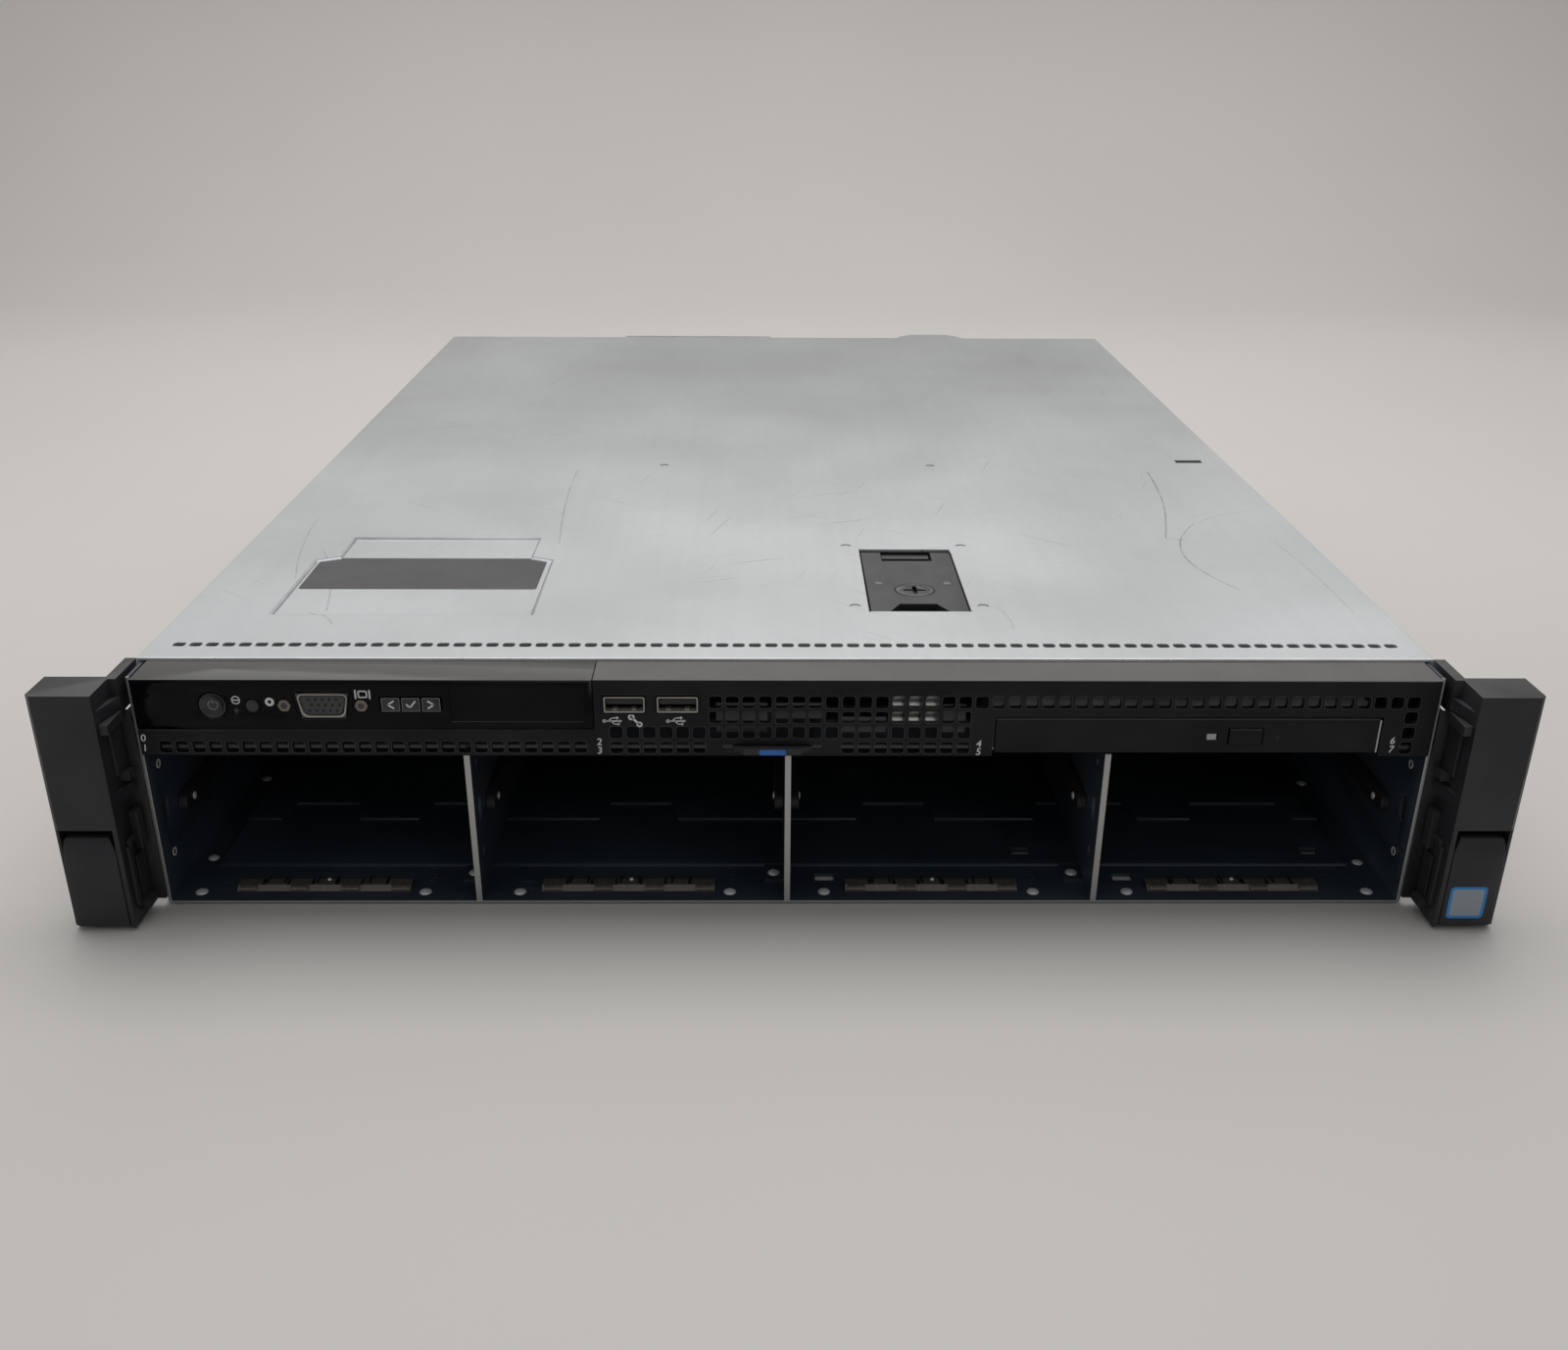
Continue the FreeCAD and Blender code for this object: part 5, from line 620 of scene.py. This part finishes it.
# piece, width of its rounding, and the shortest edge rounded (all in mm)
for node, bevel, least in (
        ("ear_left", 0.7, 0), ("ear_right", 0.7, 0),
        ("slam_latch_left", 0.6, 0), ("slam_latch_right", 0.6, 0),
        ("id_button", 0.3, 0), ("menu_button_left", 0.25, 0), ("menu_button_select", 0.25, 0),
        ("menu_button_right", 0.25, 0), ("information_tag", 0.4, 0), ("cover_latch", 0.3, 0),
        ("latch_lock", 0.2, 0), ("front_panel", 0.3, 40), ("control_panel", 0.3, 0),
        ("disc_tray", 0.35, 0), ("eject_button", 0.25, 0), ("top_cover", 0.45, 60),
        ("chassis_tray", 0.45, 0), ("slot_retainer", 0.25, 0), ("power_supply_1", 0.4, 0),
        ("power_supply_2", 0.4, 0), ("supply_latch_1", 0.3, 0), ("supply_latch_2", 0.3, 0),
        ("rack_bracket_left", 0.3, 0), ("rack_bracket_right", 0.3, 0)):
    rounded(node, bevel, least)


def lettering():
    """Bay numbers and the marks beside the controls and ports."""
    with Making("bay_numbers", INK, "front_panel") as cage:
        for across, pairs in ((-212.2, ((65.3, "0"), (61.7, "1"))), (-62.5, ((64.0, "2"), (60.9, "3"))),
                              (63.0, ((63.4, "4"), (60.5, "5")))):
            for up, text in pairs:
                glyph(cage, text, across, up, 3.5, FACE - 0.12, 0.1)
    with Making("bay_numbers_right", INK, "front_panel") as cage:
        for up, text in ((64.6, "6"), (61.5, "7")):
            glyph(cage, text, 200.5, up, 3.5, FACE - 0.12, 0.1)
    front = FACE - 0.06
    with Making("control_marks", INK, "control_panel") as cage:
        for points in ([(-140.9, 79.6), (-140.9, 82.3)], [(-136.3, 79.6), (-136.3, 82.3)]):
            stroke(cage, ALONG, front, FACE, points, 0.5)
        band(cage, ALONG, front, FACE, oblong(-138.6, 81.0, 3.1, 2.6, 0.5, 2),
             oblong(-138.6, 81.0, 2.2, 1.7, 0.2, 2))
        band(cage, ALONG, front, FACE, circle(-179.9, 78.9, 1.45), circle(-179.9, 78.9, 1.1))
        stroke(cage, ALONG, front, FACE, [(-181.0, 78.9), (-178.8, 78.9)], 0.4)
        band(cage, ALONG, front, FACE, circle(-169.0, 78.3, 1.5), circle(-169.0, 78.3, 0.62))
    with Making("port_marks", INK, "front_panel") as cage:
        for middle in (-57.8, -36.9):
            for width, line in ((0.45, ((-2.7, 71.6), (2.5, 71.6))),
                                (0.4, ((-1.4, 71.6), (-0.2, 72.7), (1.2, 72.7))),
                                (0.4, ((-0.4, 71.6), (0.6, 70.5), (1.6, 70.5)))):
                stroke(cage, ALONG, front, FACE, [(middle + shift, up) for shift, up in line], width)
            for shift, up, radius, segments in (
                    (-2.7, 71.6, 0.62, 12), (1.5, 72.7, 0.5, 12), (1.9, 70.5, 0.5, 4)):
                prism(cage, ALONG, front, FACE, circle(middle + shift, up, radius, segments))
            prism(cage, ALONG, front, FACE,
                  [(middle + 2.3, 72.2), (middle + 3.2, 71.6), (middle + 2.3, 71.0)])
        stroke(cage, ALONG, front, FACE, [(-51.2, 72.6), (-49.4, 70.8)], 0.75)
        band(cage, ALONG, front, FACE, arc(-51.6, 73.0, 1.1, -10, 280), arc(-51.6, 73.0, 0.5, -10, 280))
        band(cage, ALONG, front, FACE, arc(-49.0, 70.4, 1.0, 170, 460), arc(-49.0, 70.4, 0.45, 170, 460))


# holes of the front panel: first column, upper row, spacings, and the runs (row, column, count)
HOLE_LEFT, HOLE_TOP, HOLE_PITCH, HOLE_DROP = -24.0, 78.3, 5.46, 5.42
HOLE_RUNS = ((0, 0, 43), (1, 0, 16), (2, -6, 22), (3, -6, 6), (3, 8, 8))
RIGHT_COLUMN = 205.3
LOWER_ROW, LOWER_COUNT = 62.2, 26
# holes along the front of the cover
VENT_COUNT, VENT_FIRST, VENT_PITCH, VENT_MIDDLE = 75, -206.83, 5.59, 25.75


def grille():
    """Raised rims round the holes of the front panel, and round corners in the holes of the cover."""
    spots = [(HOLE_LEFT + HOLE_PITCH * column, HOLE_TOP - HOLE_DROP * level)
             for level, first, count in HOLE_RUNS for column in range(first, first + count)]
    spots += [(RIGHT_COLUMN, HOLE_TOP - HOLE_DROP * level) for level in (1, 2, 3)]
    spots += [(-RIGHT_COLUMN + HOLE_PITCH * column, LOWER_ROW) for column in range(LOWER_COUNT)]
    with Making("hole_rims", RIM, "front_panel", 0.1) as cage:
        for across, up in spots:
            band(cage, ALONG, FACE - 0.1, FACE + 2.3, oblong(across, up, 4.8, 4.8, 1.2, 3),
                 oblong(across, up, 4.16, 4.16, 0.9, 3))
    with Making("sheet_behind_grille", SHELL, "front_panel") as cage:
        block(cage, 33.6, 50.6, FACE + 5.0, FACE + 5.6, 69.4, 80.0)
    with Making("bracket_behind_grille", DIM_INK, "front_panel") as cage:
        for left, right, lower, upper in (
                (-24.0, -7.0, 65.0, 75.5), (-4.0, 12.0, 70.0, 75.5), (17.0, 32.5, 65.0, 70.5),
                (51.5, 59.0, 65.0, 75.0)):
            block(cage, left, right, FACE + 6.0, FACE + 6.6, lower, upper)
    top = pick("top_cover")[1].z
    with Making("vent_corners", COVER, "top_cover") as cage:
        for column in range(VENT_COUNT):
            corners(cage, UP, top - 0.98, top - 0.01, VENT_FIRST + VENT_PITCH * column, VENT_MIDDLE,
                    4.2, 3.5, 1.1)


def controls():
    """Rims, marks and sockets of the control panel."""
    low, high = pick("power_button")
    across, up = (low.x + high.x) / 2, 77.1
    with Making("power_rim", GLOSS, "control_panel", 0.15) as cage:
        band(cage, ALONG, FACE - 0.35, FACE, circle(across, up, 5.35, 40), circle(across, up, 4.78, 40))
    with Making("power_button_body", KEY, "power_button", replaces=("power_button",)) as cage:
        lathe(cage, ALONG, (across, up),
              [(low.y + 1.2, 1.0), (low.y + 0.75, 2.6), (low.y + 0.3, 3.5), (low.y + 0.05, 3.95),
               (low.y + 0.15, 4.3), (low.y + 0.5, 4.5), (high.y, 4.5)], 40)
    with Making("power_mark", DIM_INK, "power_button") as cage:
        ring = arc(across, up, 1.75, 125, 415, 16)
        band(cage, ALONG, low.y + 0.72, low.y + 1.1, ring, arc(across, up, 1.4, 125, 415, 16))
        stroke(cage, ALONG, low.y + 0.72, low.y + 1.3, [(across, up + 0.6), (across, up + 1.9)], 0.35)
    with Making("locate_rim", GLOSS, "control_panel", 0.1) as cage:
        band(cage, ALONG, FACE - 0.25, FACE, circle(-174.6, up, 2.95, 28), circle(-174.6, up, 2.38, 28))
    for node, middle, mark in (
            ("menu_button_left", -129.8, [(-128.9, 78.6), (-130.7, 77.4), (-128.9, 76.2)]),
            ("menu_button_select", -123.2, [(-124.5, 77.4), (-123.6, 76.3), (-121.8, 78.5)]),
            ("menu_button_right", -116.6, [(-117.5, 78.6), (-115.7, 77.4), (-117.5, 76.2)])):
        front = pick(node)[0].y
        with Making(f"{node}_frame", DIM_INK, node) as cage:
            band(cage, ALONG, front - 0.05, front, oblong(middle, 77.4, 5.9, 4.7, 0.3, 2),
                 oblong(middle, 77.4, 5.45, 4.25, 0.2, 2))
        with Making(f"{node}_mark", INK, node) as cage:
            stroke(cage, ALONG, front - 0.06, front, mark, 0.55)


def sockets():
    """The video and universal ports: bright rims round dark cores, and painted shade in the pin holes of the
    video port.
    """
    low = pick("video_port")[0]
    middle, up = -151.8, 77.1

    def tapered(upper, lower, rise, drop):
        """The port's outline: half widths at the top and bottom, and how far it goes up and down."""
        return [(middle - upper, up + rise), (middle + upper, up + rise),
                (middle + lower, up - drop), (middle - lower, up - drop)]

    def shrunk(step):
        return tapered(8.6 - step, 7.1 - step, 4.3 - step, 4.3 - step)

    with Making("video_rim", RIM_METAL, "video_port", 0.3) as cage:
        band(cage, ALONG, low.y - 0.02, low.y + 4.0, soft(shrunk(0.0), 2.2), soft(shrunk(0.85), 1.6))
    with Making("video_face", PORT_BLUE, "video_port") as cage:
        prism(cage, ALONG, low.y + 0.55, low.y + 3.0, soft(shrunk(1.15), 1.5))
    # painted shade: dark discs where the pin holes are
    with Making("video_pin_hole_shade", PAINTED_HOLE_SHADE, "video_port") as cage:
        for row, shift in ((-1, 0.0), (0, 0.9), (1, 0.0)):
            for column in range(5):
                across = middle - 4.6 + 2.25 * column + shift
                prism(cage, ALONG, low.y + 0.5, low.y + 0.6, circle(across, up - 1.95 * row, 0.55, 10))
    with Making("video_hood", GLOSS, "control_panel", 0.12) as cage:
        band(cage, ALONG, FACE - 0.3, FACE, soft(tapered(10.4, 8.8, 5.3, 5.5), 3.2),
             soft(tapered(9.9, 8.3, 4.8, 5.0), 2.8))
    for side in (-1, 1):
        name = "left" if side < 0 else "right"
        with Making(f"video_post_{name}", RIM_METAL_DARK, "video_port", 0.2) as cage:
            band(cage, ALONG, low.y - 0.3, low.y + 1.5, circle(middle + side * 12.5, up, 2.2, 6),
                 circle(middle + side * 12.5, up, 1.1, 6))
    for index, across in enumerate((-53.8, -36.4)):
        with Making(f"universal_rim_{index}", RIM_METAL, "usb_ports", 0.18) as cage:
            band(cage, ALONG, FACE - 0.5, FACE + 3.0, oblong(across, 77.5, 13.4, 5.5, 0.5, 3),
                 oblong(across, 77.5, 12.5, 4.6, 0.3, 3))
        with Making(f"universal_hood_{index}", GRILLE, "front_panel", 0.12) as cage:
            band(cage, ALONG, FACE - 0.2, FACE, oblong(across, 77.6, 15.4, 7.4, 0.6, 3),
                 oblong(across, 77.6, 14.7, 6.7, 0.5, 3))
        with Making(f"universal_core_{index}", INNER, "usb_ports", 0.1) as cage:
            block(cage, across - 6.2, across + 6.2, FACE + 0.6, FACE + 5.0, 78.2, 79.3)
            block(cage, across - 6.2, across + 6.2, FACE + 5.0, FACE + 5.5, 75.3, 79.7)
        with Making(f"universal_springs_{index}", RIM_METAL, "usb_ports", 0.1) as cage:
            for side in (-3.1, 3.1):
                block(cage, across + side - 0.8, across + side + 0.8, FACE + 0.4, FACE + 3.0, 75.3, 75.7)


# middles of the four drive columns, and the walls between them
COLUMNS = (-161.1, -53.7, 53.7, 161.1)
WALLS = (-215.8, -107.4, 0.0, 107.4, 215.8)
# from a column's middle to the left end of its contact strip
STRIP_LEFT = -2.4 - 30.5


def bays():
    """Rivets, guides, contact strips and pressed marks of the drive bays, with painted shade in the slits of
    the strips and painted highlights round the slots of the walls.
    """
    with Making("floor_rivet_heads", BRIGHT, "floor_rivets", replaces=("floor_rivets",)) as cage:
        for low, high in islands("floor_rivets"):
            centre = ((low.x + high.x) / 2, (low.y + high.y) / 2)
            radius = (high.x - low.x) / 2 * 1.03
            rise = high.z - low.z
            lathe(cage, UP, centre, [(low.z + rise * part, radius * width) for part, width in (
                (0, 1), (0.35, 0.94), (0.7, 0.72), (0.92, 0.4), (1, 0.1))], 24)
    with Making("rail_stud_heads", BARE, "rail_studs", 0.25, ("rail_studs",)) as cage:
        for low, high in islands("rail_studs"):
            centre = ((low.y + high.y) / 2, (low.z + high.z) / 2)
            radius = (high.z - low.z) / 2 * 1.02
            head, neck = 1.2, radius * 0.66
            if low.x < 0:
                levels = [(low.x, radius), (low.x + head, radius), (low.x + head, neck), (high.x, neck)]
            else:
                levels = [(low.x, neck), (high.x - head, neck), (high.x - head, radius), (high.x, radius)]
            lathe(cage, ACROSS, centre, levels, 28)
    rivets = []
    with Making("drive_guide_rails", MATTE, "drive_guides", 0.5, ("drive_guides",)) as cage:
        for low, high in islands("drive_guides"):
            up = (low.z + high.z) / 2
            reach = (high.z - low.z) / 2
            prism(cage, ACROSS, low.x, high.x, arc(low.y + reach, up, reach, 90, 270, 8)
                  + [(high.y, low.z), (high.y, high.z)])
            middle = (low.x + high.x) / 2
            wall = min(WALLS, key=lambda x: abs(x - middle))
            inward = 1 if middle > wall else -1
            rivets.append((high.x if inward > 0 else low.x, inward, low.y + 8.0, up))
    with Making("guide_rivets", BRIGHT, "drive_guides") as cage:
        for face, inward, along, up in rivets:
            lathe(cage, ACROSS, (along, up), [(face + inward * step, radius) for step, radius in (
                (-0.2, 1.5), (0.25, 1.35), (0.5, 0.8), (0.55, 0.2))], 16)
    with Making("strip_tabs", BRONZE, "contact_strips", 0.12) as tabs:
        with Making("strip_pips", BRIGHT, "contact_strips") as pips:
            for column in COLUMNS:
                left = column + STRIP_LEFT
                for start in (0.6, 18.6, 36.6, 54.2):
                    prism(tabs, ACROSS, left + start, left + start + 6.4,
                          [(6.3, 1.3), (6.3, 2.2), (7.3, 2.85), (8.4, 2.85), (7.6, 2.3),
                           (7.0, 1.6), (7.0, 1.3)])
                lathe(pips, UP, (column - 1.6, 12.2), [(2.6, 0.8), (3.1, 0.62), (3.25, 0.2)], 12)
    # painted shade: thin dark plates in the slits between the tabs
    with Making("strip_slits", PAINTED_HOLE_SHADE, "contact_strips") as cage:
        for column in COLUMNS:
            left = column + STRIP_LEFT
            for start in (9.8, 16.0, 27.6, 34.1, 45.9, 52.2):
                block(cage, left + start - 0.4, left + start + 0.4, 9.6, 14.6, 2.6, 2.73)
    with Making("floor_marks", PAINT, "chassis_tray", 0.15) as cage:
        for column in COLUMNS:
            if column < 0:
                for along in (8.6, 13.2):
                    prism(cage, UP, 1.2, 1.55, oblong(column - 38.0, along, 4.4, 1.2, 0.5, 2))
            for step in range(3):
                across = column + 34.8 - 0.3 * step
                along = 13.0 + 4.2 * step
                stroke(cage, UP, 1.2, 1.6, arc(across, along, 1.3, -60, 150, 5), 0.45)
    with Making("wall_rivets", BRIGHT, "chassis_tray") as cage:
        for spot in ((-209.8, 30.7), (-209.5, 97.0), (210.3, 27.1), (210.4, 93.2)):
            lathe(cage, UP, spot, [(1.15, 2.0), (1.5, 1.9), (1.85, 1.4), (2.05, 0.7), (2.1, 0.2)], 20)
    with Making("floor_front_edge", DIM_INK, "chassis_tray") as cage:
        block(cage, -213.8, 213.8, -0.56, -0.48, 0.1, 1.0)
    # painted highlight: pale rings round the locating slots of the side walls
    with Making("wall_slot_rim_highlights", BRIGHT, "chassis_tray", 0.08) as cage:
        for side in (-1, 1):
            start, end = sorted((side * 214.4, side * 214.15))
            for up in (16.0, 50.0):
                band(cage, ACROSS, start, end, circle(8.8, up, 1.7, 16), circle(8.8, up, 1.05, 16))


def cover():
    """The blank label, marks and pressed edges of the cover, and a painted highlight along its front edge."""
    top = pick("top_cover")[1].z
    # painted highlight: a pale bright strip along the cover's front edge
    with Making("painted_cover_edge_highlight", BRIGHT, "top_cover", 0.2) as cage:
        block(cage, -216.4, 216.4, 13.3, 13.9, 85.85, 86.78)
    with Making("cover_label", LABEL, "top_cover") as cage:
        prism(cage, UP, top - 0.8, top - 0.7, oblong(-138.3, 104.2, 89.2, 37.0, 1.2, 3))
    left, right, front, shoulder, back, inset = -184.8, -91.0, 55.7, 118.7, 148.7, 8.6
    outline = [(left, front), (right, front), (right, shoulder), (right - inset, shoulder + 4.0),
               (right - inset, back), (left + inset, back), (left + inset, shoulder + 4.0), (left, shoulder)]
    with Making("pocket_rim", EDGE, "top_cover") as cage:
        middle = (sum(point[0] for point in outline) / 8, sum(point[1] for point in outline) / 8)
        loops = []
        for level, inward in ((top - 0.02, -0.5), (top - 0.25, 0.5), (top - 0.78, 1.0)):
            loop = []
            for point in outline:
                shift = [inward if middle[axis] > point[axis] else -inward for axis in (0, 1)]
                loop.append(cage.verts.new(placed(UP, level, point[0] + shift[0], point[1] + shift[1])))
            loops.append(loop)
        for outer, inner in zip(loops, loops[1:]):
            for index in range(8):
                after = (index + 1) % 8
                cage.faces.new((outer[index], outer[after], inner[after], inner[index]))
    middle = 48.6
    with Making("latch_marks", DIM_INK, "latch_lock") as cage:
        face = pick("latch_lock")[1].z
        band(cage, UP, face, face + 0.05, circle(middle, 84.3, 6.4, 40), circle(middle, 84.3, 6.1, 40))
    with Making("lever_marks", DIM_INK, "cover_latch") as cage:
        face = pick("cover_latch")[1].z
        # an open and a closed padlock, and two fine lines
        for across, shackle in ((middle - 13.0, -0.8), (middle + 13.0, 0.0)):
            block(cage, across - 1.3, across + 1.3, 91.0, 93.0, face, face + 0.05)
            band(cage, UP, face, face + 0.05, arc(across + shackle, 93.0, 1.1, 0, 180, 8),
                 arc(across + shackle, 93.0, 0.75, 0, 180, 8))
        for along in (117.5, 119.0):
            stroke(cage, UP, face, face + 0.04, [(middle - 10.6, along), (middle + 10.6, along)], 0.2)


def ears():
    """Clips on the inner sides of the ears, and the blank badge on the right slam latch."""
    for side, node in ((-1, "ear_left"), (1, "ear_right")):
        inner = 220.3 * side
        with Making(f"{node}_clips", MATTE, node, 0.25) as cage:
            for reach, near, far, low, high in (
                    (3.0, -17.0, -4.0, 72.0, 75.5), (1.2, -12.0, -3.0, 55.0, 72.0),
                    (3.4, -9.0, -4.0, 52.0, 55.0), (1.6, -14.0, -3.0, 30.0, 32.0),
                    (2.8, -8.0, -3.4, 26.0, 40.0), (1.4, -15.5, -12.5, 8.0, 30.0),
                    (3.2, -12.5, -5.0, 5.0, 8.0), (1.0, -10.0, -3.0, 8.0, 24.0)):
                left, right = sorted((inner, inner - side * reach))
                block(cage, left, right, near, far, low, high)
    with Making("badge", BADGE, "slam_latch_right") as cage:
        front = pick("slam_latch_right")[0].y
        prism(cage, ALONG, front - 0.02, front, oblong(230.2, 10.9, 12.4, 12.0, 1.3, 4))
    with Making("badge_edge", BADGE_EDGE, "slam_latch_right") as cage:
        band(cage, ALONG, front - 0.04, front, oblong(230.2, 10.9, 12.6, 12.2, 1.4, 4),
             oblong(230.2, 10.9, 10.6, 10.2, 0.9, 4))
    low, high = pick("information_tag")
    with Making("tag_badge", BLUE, "information_tag", 0.1) as cage:
        prism(cage, ALONG, low.y - 0.15, low.y + 0.3, oblong(-5.3, 61.8, 8.9, 1.9, 0.9, 5))


def drive():
    """Lamp, painted shade of the pin hole, and bright edge of the optical drive."""
    low, high = pick("disc_tray")
    with Making("drive_lamp", LAMP, "disc_tray", 0.1) as cage:
        block(cage, 138.3, 141.6, low.y + 0.1, low.y + 0.5, 65.1, 67.2)
    # painted shade: a dark disc where the pin hole is
    with Making("drive_pin_hole_shade", PAINTED_HOLE_SHADE, "disc_tray") as cage:
        prism(cage, ALONG, low.y - 0.02, low.y + 0.1, circle(161.9, 66.0, 0.75, 16))
    with Making("drive_edge", BARE, "disc_tray", 0.1) as cage:
        block(cage, high.x - 0.55, high.x, low.y - 0.1, low.y + 1.0, low.z + 0.2, high.z - 0.2)


grille()
lettering()
controls()
sockets()
bays()
cover()
ears()
drive()


# ------------------------------------------------------------------------ camera and studio

# the photograph: its width and focal length in pixels, its offset, and a nominal sensor in mm
PHOTO_WIDTH, FOCAL = 1600, 1580.07
OFFSET = (3.64, 106.29)
SENSOR = 36.0


def camera():
    """The photograph's viewpoint, as a pinhole camera worked out from the unit's own edges."""
    pitch, yaw, roll = 0.4536, 0.0130, -0.00612
    place = Vector((-8.65, -469.55, 277.38)) * MM
    ahead = Vector((math.sin(yaw) * math.cos(pitch), math.cos(yaw) * math.cos(pitch), -math.sin(pitch)))
    across = Vector((math.cos(yaw), -math.sin(yaw), 0.0))
    below = ahead.cross(across)
    right = across * math.cos(roll) + below * math.sin(roll)
    down = below * math.cos(roll) - across * math.sin(roll)
    data = bpy.data.cameras.new("camera")
    data.sensor_width = SENSOR
    data.lens = FOCAL / PHOTO_WIDTH * SENSOR
    data.shift_x = OFFSET[0] / PHOTO_WIDTH
    data.shift_y = OFFSET[1] / PHOTO_WIDTH
    data.clip_start = 0.01
    eye = bpy.data.objects.new("camera", data)
    turn = Matrix((right, -down, -ahead)).transposed()
    eye.matrix_world = Matrix.Translation(place) @ turn.to_4x4()
    bpy.context.scene.collection.objects.link(eye)
    bpy.context.scene.camera = eye


def stage():
    """A pale floor that turns up into a backdrop, and a soft light tent over it."""
    shader = Shader("stage_paper")
    shader.feed("Base Color", shader.mix(shader.noise(2.0), (0.53, 0.505, 0.48), (0.60, 0.572, 0.543)))
    shader.set(Roughness=0.6)
    ground = cad_box[0].z
    mesh = bpy.data.meshes.new("stage")
    cage = bmesh.new()
    # metres: the floor's near edge, where it starts to bend, the bend, and the top of the backdrop
    near, flat, bend, top = -3.0, 1.25, 0.45, 2.6
    profile = [(near, 0.0), (flat, 0.0)]
    for step in range(1, 9):
        angle = step * math.pi / 16
        profile.append((flat + bend * math.sin(angle), bend * (1 - math.cos(angle))))
    profile.append((flat + bend, top))
    rows = [[cage.verts.new((x, y, ground + z)) for x in (-3.5, 3.5)] for y, z in profile]
    for low, high in zip(rows, rows[1:]):
        cage.faces.new((low[0], low[1], high[1], high[0]))
    cage.to_mesh(mesh)
    cage.free()
    mesh.shade_smooth()
    mesh.materials.append(shader.material)
    paper = bpy.data.objects.new("stage", mesh)
    bpy.context.scene.collection.objects.link(paper)


def lamp(name, place, target, size, power):
    """Adds a rectangular lamp that faces a target."""
    data = bpy.data.lights.new(name, "AREA")
    data.shape = "RECTANGLE"
    data.size, data.size_y = size
    data.energy = power
    thing = bpy.data.objects.new(name, data)
    thing.location = place
    thing.rotation_euler = (Vector(target) - Vector(place)).to_track_quat("-Z", "Y").to_euler()
    bpy.context.scene.collection.objects.link(thing)


def light():
    """A dim sky and three lamps."""
    world = bpy.data.worlds.new("studio")
    bpy.context.scene.world = world
    world.use_nodes = True
    glow = world.node_tree.nodes["Background"]
    glow.inputs["Color"].default_value = (0.95, 0.97, 1.0, 1)
    glow.inputs["Strength"].default_value = 0.36
    lamp("tent_top", (0.0, 0.55, 1.45), (0.0, 0.25, 0.0), (2.2, 1.1), 20.0)
    lamp("tent_front", (0.0, -1.4, 1.3), (0.0, -0.3, 0.0), (1.8, 0.6), 1.0)
    lamp("tent_back", (0.0, 1.3, 0.9), (0.0, 0.2, 0.05), (1.8, 0.6), 3.0)


camera()
stage()
light()
bpy.context.scene.view_settings.view_transform = "Standard"
